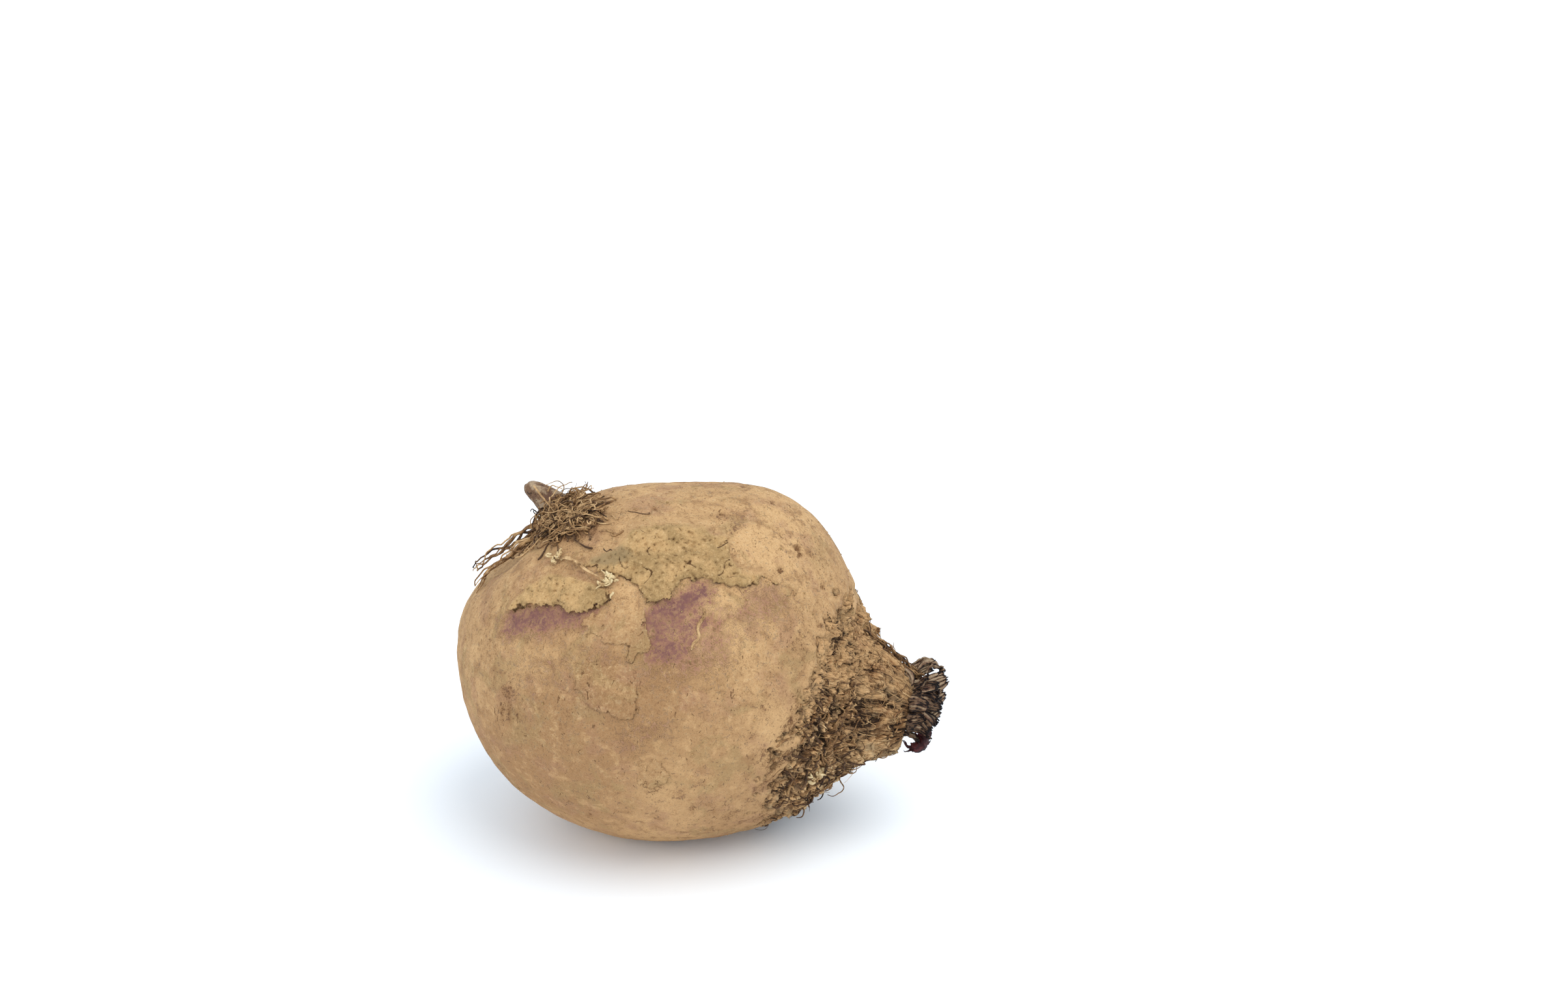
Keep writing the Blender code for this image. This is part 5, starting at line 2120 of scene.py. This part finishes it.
            # browner fibres on the lower side, partly painted shade
            low = way.dot(Vector(SIGHT.axes[1])) < -0.25
            weights = (1, 6, 5) if low else (1, 8, 3)
            draw.choices(kinds, weights)[0].add(path, draw.uniform(0.05, 0.14) * MM, 0.5, 0.6)
        thick = Habit(0.7 * MM, 0.30, 0.66, 0.0, 0.5, (0.0, 0.5 * MM))
        for _ in range(self.thick_count):
            while True:
                angle, way = self.draw_place(draw, 16, 46)
                if way.dot(Vector(SIGHT.axes[1])) < -0.12:
                    break
            point, normal = surface.at(way, 0.1 * MM)
            heading = (jitter(draw) - normal * 0.3 + axis * 0.5).normalized()
            path = grown(draw, surface, point, heading, draw.uniform(3, 9) * MM, thick)
            draw.choices(kinds, (0, 4, 5))[0].add(path, draw.uniform(0.13, 0.34) * MM, 0.4, 0.6)
        for path in guided(draw, surface, self.strap, 4, 0.42 * MM, 1.0, 0.25 * MM):
            kinds[1].add(path, draw.uniform(0.26, 0.40) * MM, 0.6, 0.7)
        for path in guided(draw, surface, self.upper_fibres, 14, 0.62 * MM, 0.12, 0.0):
            draw.choices(kinds, (1, 5, 3))[0].add(path, draw.uniform(0.12, 0.30) * MM, 0.5, 0.7)

    def straws(self, surface: Surface, pale: Strands) -> None:
        """Stiff pale straws that stand a little off the mat.

        Args:
            surface: the skin that they lie on.
            pale: the pale strands.
        """
        draw = random.Random(SEED + 22)
        axis = Vector(FORM.crown_axis)
        habit = Habit(1.0 * MM, 0.06, 0.7, 0.0, 0.25, (0.05 * MM, 0.6 * MM))
        for _ in range(self.straw_count):
            _, way = self.draw_place(draw, 9, 40)
            point, normal = surface.at(way, 0.1 * MM)
            tipward = (axis - normal * axis.dot(normal)).normalized()
            heading = (tipward + jitter(draw, 0.6)).normalized()
            path = grown(draw, surface, point, heading, draw.uniform(2.5, 7) * MM, habit)
            pale.add(path, draw.uniform(0.08, 0.18) * MM, 0.4, 0.8)

    def hairs(self, surface: Surface, dark: Strands) -> None:
        """Short dark hairs that hang from the mat's lower side.

        Args:
            surface: the skin that they lie on.
            dark: the brown strands.
        """
        draw = random.Random(SEED + 23)
        habit = Habit(0.4 * MM, 0.40, 0.6, 0.25, 0.12, (0.0, 0.2 * MM))
        for _ in range(self.hair_count):
            angle = draw.uniform(10, 44)
            turn = math.pi * 1.5 + draw.gauss(0, 0.35)
            local = self.on_crown(angle, turn)
            round_it = (self.on_crown(angle, turn + step * 0.3) for step in range(21))
            lowest = min(round_it, key=lambda way: way.z)
            way = (lowest + (local - lowest) * 0.18).normalized()
            point, normal = surface.at(way, -0.05 * MM)
            heading = (normal + Vector((0, 0, -0.6)) + jitter(draw, 0.5)).normalized()
            dark.add(grown(draw, surface, point, heading, draw.uniform(0.8, 2.0) * MM, habit),
                     draw.uniform(0.12, 0.26) * MM, 0.4)

    def frays(self, surface: Surface, cream: Strands, pale: Strands) -> None:
        """Little heaps of cream shreds where the skin is torn, and the pale strands on the soil and skin.

        Args:
            surface: the skin that they lie on.
            cream: the shreds.
            pale: the pale strands.
        """
        draw = random.Random(SEED + 24)
        habit = Habit(0.35 * MM, 0.5, 0.6, 0.0, 0.05, (0.3 * MM, 1.3 * MM))
        for right, up, near, count in self.fray_places:
            middle = Vector(SIGHT.offset(right, up, near))
            for _ in range(count * 2):
                way = middle + jitter(draw, 0.75 * MM)
                point, normal = surface.at(way, 0.5 * MM)
                heading = (normal * 0.3 + jitter(draw)).normalized()
                cream.add(grown(draw, surface, point, heading, draw.uniform(0.8, 2.0) * MM, habit),
                          draw.uniform(0.2, 0.42) * MM, 0.5)
        ridge = ((-20.4, 21.0, 26.2), (-18.4, 20.6, 27.6), (-16.8, 19.8, 28.9), (-15.2, 18.4, 30.4),
                 (-14.0, 17.5, 31.3), (-12.6, 16.8, 32.2), (-11.3, 16.0, 33.0))  # fmt: skip
        strand = ((8.2, 9.8, 36.1), (8.3, 8.7, 36.5), (8.0, 7.8, 36.7), (7.3, 6.8, 37.0), (7.1, 5.7, 37.2),
                  (7.2, 4.6, 37.4), (6.9, 3.7, 37.5), (6.0, 2.9, 37.7), (5.7, 1.7, 37.8))  # fmt: skip
        for places, radius, lift in ((ridge, 0.3 * MM, 0.85 * MM), (strand, 0.38 * MM, 0.08 * MM)):
            for _ in range(3):
                ways = [(Vector(SIGHT.offset(*place)), jitter(draw, 0.12 * MM)) for place in places]
                path = [surface.at(way + shift, lift)[0] for way, shift in ways]
                pale.add(path, radius * draw.uniform(0.6, 0.95), 0.5, 0.6)

    def build(self, surface: Surface, flake: Material, tones: Sequence[Material],
              cream: Material) -> None:
        """Builds and dresses the mat's loose pieces.

        Args:
            surface: the skin that they lie on.
            flake: the flakes' finish.
            tones: the fibres' finishes.
            cream: the shreds' finish.
        """
        finished(self.flakes(surface), flake)
        kinds = [Strands(f"crown_fibres_{tone}", 4) for tone in ("pale", "tan", "brown")]
        self.fibres(surface, kinds)
        self.straws(surface, kinds[0])
        self.hairs(surface, kinds[2])
        shreds = Strands("cream_shreds")
        self.frays(surface, shreds, kinds[0])
        for strands, finish in zip((*kinds, shreds), (*tones, cream)):
            finished(strands.mesh(), finish)


# The dead leaf stalks


def along_path(path: Sequence[Vector], side: Vector, across: np.ndarray, along: np.ndarray,
               rise: np.ndarray) -> np.ndarray:
    """Lays flat places along a path.

    Args:
        path: the path's points.
        side: roughly the direction that across goes in.
        across, along, rise: the places: across the path in metres, along it from 0 to 1, and off it.

    Returns:
        The points in space, one a row.
    """
    line = np.array(path)
    runs = np.gradient(line, axis=0)
    runs /= np.linalg.norm(runs, axis=1)[:, None]
    sides = np.array(side) - (runs @ np.array(side))[:, None] * runs
    sides /= np.linalg.norm(sides, axis=1)[:, None]
    ups = np.cross(sides, runs)
    at = np.clip(along, 0, 1) * (len(line) - 1)

    def read(rows: np.ndarray) -> np.ndarray:
        """The rows' values at the places along."""
        return np.column_stack([np.interp(at, range(len(line)), rows[:, axis]) for axis in range(3)])

    return read(line) + read(sides) * across[:, None] + read(ups) * rise[:, None]


@dataclass
class LeafStalks:
    """The withered leaf stalks on the crown's tip: ribbed gutters, black rags, and a limp red one."""

    shift: float = 1.1 * MM
    upward_lean: float = math.radians(13)
    seat: float = -0.4 * MM
    width: float = 3.6 * MM
    wall: float = 0.30 * MM
    ribs: int = 5
    rib_height: float = 0.24 * MM
    gutter: float = 0.7 * MM
    curl: float = 0.25
    lean_spread: float = 9
    steps: int = 5
    rings: tuple = ((3, 1.9 * MM, 6, 7.0 * MM), (8, 4.7 * MM, 14, 6.4 * MM))
    sheath_count: int = 9
    rag_count: int = 7
    # Sighted paths and widths in mm of the blades on the side that shows
    blades: tuple = (
        (((50.6, -7.6, 9.0), (53.2, -8.4, 9.6), (56.4, -7.6, 8.6), (59.4, -6.4, 7.2),
          (61.6, -5.6, 6.0)), 4.6),
        (((50.8, -10.6, 9.0), (53.6, -11.2, 9.4), (56.6, -10.8, 8.4), (59.0, -9.8, 7.2),
          (60.8, -8.8, 6.0)), 4.0),
        (((51.0, -12.6, 8.0), (54.0, -13.4, 8.4), (57.0, -13.4, 7.4), (59.4, -12.2, 6.4)), 3.4),
        (((50.2, -4.4, 8.0), (52.2, -5.6, 8.8), (53.6, -8.6, 9.8), (54.0, -11.8, 9.2),
          (54.4, -14.6, 7.4)), 3.8),
        (((50.4, -5.6, 6.0), (53.4, -4.6, 7.4), (56.4, -3.4, 6.8), (58.8, -3.0, 5.4)), 3.2),
    )  # fmt: skip
    rags: tuple = (
        (((53.6, -5.0, 6.4), (55.2, -3.4, 7.4), (56.8, -2.2, 6.6), (58.8, -2.4, 5.2)), 2.4),
        (((56.4, -4.2, 6.6), (58.0, -3.0, 6.8), (59.6, -3.4, 5.8), (60.6, -4.6, 5.0)), 2.4),
        (((53.6, -14.4, 7.0), (56.2, -14.6, 7.4), (58.4, -14.0, 6.6)), 2.0),
    )  # fmt: skip
    limp: tuple = ((54.0, -13.0, 6.0), (54.7, -14.9, 6.2), (56.0, -16.8, 6.2), (55.9, -18.6, 6.0),
                   (54.9, -20.4, 5.8), (53.2, -20.6, 5.6))  # fmt: skip

    @cached_property
    def frame(self) -> Matrix:
        """The stalks' own axes: Z leaves the crown's tip, Y is upward, the origin is on the tip.

        Returns:
            The matrix from those axes to the row frame.
        """
        axis = Vector(FORM.crown_axis)
        side = Vector((0, 0, 1)).cross(axis).normalized()
        upward = axis.cross(side)
        turn = Matrix((-side, upward, axis)).transposed().to_4x4()
        tip = Vector(FORM.centre) + axis * FORM.crown_tip + upward * self.shift
        return Matrix.Translation(tip) @ turn

    def strap(self, path: Sequence[Vector], side: Vector, width: float, grain: Grain, crumple: float,
              gutter: float) -> Piece:
        """One ribbed strap along a path, hollow along its middle, torn at its tip.

        Args:
            path: its middle line.
            side: roughly the direction of its width.
            width: its width.
            grain: the noise that crumples it.
            crumple: how far it is crumpled.
            gutter: how deep its hollow is.

        Returns:
            The piece.
        """
        bpy.ops.mesh.primitive_grid_add(x_subdivisions=18, y_subdivisions=22, size=1)
        obj = bpy.context.object
        flat = coordinates(obj)
        across, along = flat[:, 0], flat[:, 1] + 0.5
        noise_place = np.column_stack((across * 4, along * 3, np.full(len(flat), path[0].length * 9000)))
        torn = 1 - 0.28 * np.abs(grain(noise_place * np.array((1.6, 0, 1)), 1.0))
        taper = np.interp(along, (0, 0.25, 0.8, 1), (0.9, 1.0, 0.85, 0.6))
        ribs = np.cos(across * math.tau * self.ribs)
        rise = gutter * (across * 2) ** 2 * (1 - 0.4 * along) + self.rib_height * ribs
        rise += crumple * grain.layered(noise_place, 1.3)
        skew = crumple * grain(noise_place + 5, 1.7)
        move_to(obj, along_path(path, side, across * width * taper + skew, along * torn, rise))
        # how raised each place is: painted shade in the grooves between the ribs, lighter on their crests
        raised = 0.45 + 0.35 * ribs + 0.3 * grain(noise_place, 0.8) - 0.5 * (along > 0.93)
        mark(obj, "raised", np.clip(raised, 0, 1))
        apply_modifier(obj, "SOLIDIFY", thickness=self.wall, offset=0)
        return obj

    def path(self, draw: random.Random, turn: float, distance: float, lean: float,
             length: float) -> list[Vector]:
        """The path of one stub, leaning outward and curling as it dries, in the row frame.

        Args:
            draw: the random draw.
            turn: the turn round the tip.
            distance: how far from the tip's middle it starts.
            lean: how far it leans outward.
            length: how long it is.

        Returns:
            The path's points.
        """
        radial = Vector((math.cos(turn), math.sin(turn), 0))
        heading = Vector((0, 0, 1)) * math.cos(lean) + radial * math.sin(lean)
        heading.rotate(Matrix.Rotation(-self.upward_lean, 3, "X"))
        points = [radial * distance + Vector((0, 0, self.seat))]
        curl = Vector((draw.uniform(-1, 1), draw.uniform(-1, 1), draw.uniform(-0.6, 0.6))) * self.curl
        for _ in range(self.steps):
            points.append(points[-1] + heading * (length - self.seat) / self.steps)
            heading = (heading + curl).normalized()
        return [self.frame @ point for point in rounded(points)]

    def stubs(self) -> Piece:
        """The gutters in their two rings, with narrower sheaths and crumpled rags between them.

        Returns:
            The piece.
        """
        draw, grain = random.Random(SEED + 1), Grain(SEED + 30)
        upward = self.frame.to_3x3() @ Vector((0, 1, 0))
        straps = []
        for count, distance, lean, length in self.rings:
            for index in range(count):
                turn = math.tau * (index + draw.uniform(-0.25, 0.25)) / count
                lean_now = math.radians(lean + draw.uniform(-self.lean_spread, self.lean_spread))
                path = self.path(draw, turn, distance, lean_now, length * draw.uniform(0.75, 1.15))
                outward = self.frame.to_3x3() @ Vector((-math.sin(turn), math.cos(turn), 0))
                side = (outward + upward * 0.2).normalized()
                straps.append(self.strap(path, side, self.width, grain, 0.22 * MM, self.gutter))
        for index in range(self.sheath_count):
            turn = math.tau * (index + draw.uniform(-0.4, 0.4)) / self.sheath_count
            path = self.path(draw, turn, draw.uniform(5.0, 6.3) * MM, math.radians(draw.uniform(2, 22)),
                             draw.uniform(2.2, 5.4) * MM)
            side = self.frame.to_3x3() @ Vector((-math.sin(turn), math.cos(turn), 0))
            width = draw.uniform(2.2, 3.6) * MM
            straps.append(self.strap(path, side, width, grain, 0.4 * MM, self.gutter * 0.7))
        ribbed = (self.blades, (0.35, -1.0, 0.1), 0.18 * MM, -self.gutter * 0.5)
        crumpled = (self.rags, (0.2, -0.6, 0.8), 1.0 * MM, 0.3 * MM)
        for strips, aside, crumple, gutter in (ribbed, crumpled):
            side = Vector(SIGHT.offset(*aside)).normalized()
            for places, width in strips:
                path = rounded([FORM.point(*place) for place in places])
                straps.append(self.strap(path, side, width * MM, grain, crumple, gutter))
        for _ in range(self.rag_count):
            turn = draw.gauss(math.pi / 2, 0.9)
            path = self.path(draw, turn, draw.uniform(1.0, 5.2) * MM, math.radians(draw.uniform(0, 26)),
                             draw.uniform(5.0, 7.4) * MM)
            side = jitter(draw).normalized()
            straps.append(self.strap(path, side, draw.uniform(1.4, 2.6) * MM, grain, 0.75 * MM, 0.2 * MM))
        return joined("leaf_stalk_straps", straps)

    def limp_stalk(self) -> Piece:
        """The limp stalk: a crumpled dark red knob with short hooks.

        Returns:
            The piece.
        """
        path = [FORM.point(*place) for place in self.limp]
        knob = Strands("limp_stalk", 18)
        fine = rounded(rounded(path))
        knob.add(fine, 1.45 * MM, 0.7, 0.55)
        draw = random.Random(SEED + 31)
        for _ in range(9):
            start = fine[draw.randrange(len(fine) // 2, len(fine))]
            steps = [draw.gauss(*each) for each in ((-0.9, 0.5), (-0.2, 0.6), (-0.6, 0.4))]
            heading = Vector(steps).normalized()
            hook, points = Vector((0, 0, draw.uniform(0.1, 0.4))), [start]
            for _ in range(5):
                points.append(points[-1] + heading * 0.55 * MM)
                heading = (heading + hook).normalized()
            knob.add(points, 0.24 * MM, 0.4)
        obj = knob.mesh()
        grain, places = Grain(SEED + 32), coordinates(obj)
        shift = np.column_stack([grain.layered(places + axis * 0.01, 1.5 * MM) for axis in range(3)])
        relief = np.linalg.norm(shift, axis=1)
        move_to(obj, places + shift * 0.42 * MM)
        mark(obj, "raised", np.clip(relief, 0, 1))
        return obj

    def build(self, stalk: Material, red: Material) -> None:
        """Builds and dresses the stalks."""
        finished(self.stubs(), stalk, "leaf_stalks")
        finished(self.limp_stalk(), red)


# The stage


@dataclass
class Stage:
    """The pale floor, the soft light and the camera."""

    aim: tuple[float, float, float] = (17.37 * MM, -427.69 * MM, 247.16 * MM)
    pitch: float = math.radians(68)
    lens: float = 50.0
    floor_size: float = 12.0
    floor_colour: tuple = linear(247, 249, 251)
    floor_roughness: float = 0.6
    sky: tuple = linear(230, 243, 255)
    sky_strength: float = 1.10
    sun_strength: float = 1.5
    sun_angle: float = math.radians(50)
    sun_from: tuple[float, float, float] = (0.45, -0.25, 1.0)
    fill_strength: float = 0.8
    fill_from: tuple[float, float, float] = (-0.8, -1.0, 0.45)
    sun_colour: tuple = linear(255, 250, 243)

    def build(self) -> None:
        """Sets them all."""
        bpy.context.scene.view_settings.view_transform = "Standard"
        world = bpy.data.worlds.new("soft_room")
        bpy.context.scene.world = world
        world.use_nodes = True
        background = world.node_tree.nodes["Background"]
        Board(world.node_tree).fill(background, {"Color": self.sky, "Strength": self.sky_strength})
        bpy.ops.mesh.primitive_plane_add(size=self.floor_size)
        floor = bpy.context.object
        floor.name = "floor"
        material, board, shader = new_material("floor")
        board.fill(shader, {"Base Color": self.floor_colour, "Roughness": self.floor_roughness})
        floor.data.materials.append(material)
        for start, strength in ((self.sun_from, self.sun_strength), (self.fill_from, self.fill_strength)):
            bpy.ops.object.light_add(type="SUN", location=start)
            lamp = bpy.context.object
            lamp.data.energy, lamp.data.angle, lamp.data.color = strength, self.sun_angle, self.sun_colour[:3]
            lamp.rotation_euler = (-Vector(start)).to_track_quat("-Z", "Y").to_euler()
        bpy.ops.object.camera_add(location=self.aim, rotation=(self.pitch, 0, 0))
        camera = bpy.context.object
        camera.data.lens = self.lens
        camera.data.clip_start = 0.01
        bpy.context.scene.camera = camera


def main() -> None:
    """Builds every piece in order."""
    logging.basicConfig(level=logging.INFO, format="%(message)s")
    Stage().build()
    grain, lines = SoilGrain().group(), GroovedLines().group()
    dust = Dust().group(grain)
    skin_finish = SkinFinish().build(dust)
    crown_finish = CrownFinish().build(dust, lines)
    soil_finish = SoilFinish().build(grain, dust)
    stalk_finish = StalkFinish().build(lines)
    pale, tan, brown, cream, red = (FibreFinish(tone).build(lines) for tone in Fibre)
    root_skin = finished(Skin().build(), skin_finish, "root")
    crown_mat = finished(CrownSkin().build(), crown_finish)
    surface = Surface((root_skin, crown_mat))
    Soil().build(surface, soil_finish)
    Tail().build(surface, stalk_finish, (pale, tan, brown))
    CrownLitter().build(surface, crown_finish, (pale, tan, brown), cream)
    LeafStalks().build(stalk_finish, red)


if __name__ == "__main__":
    main()
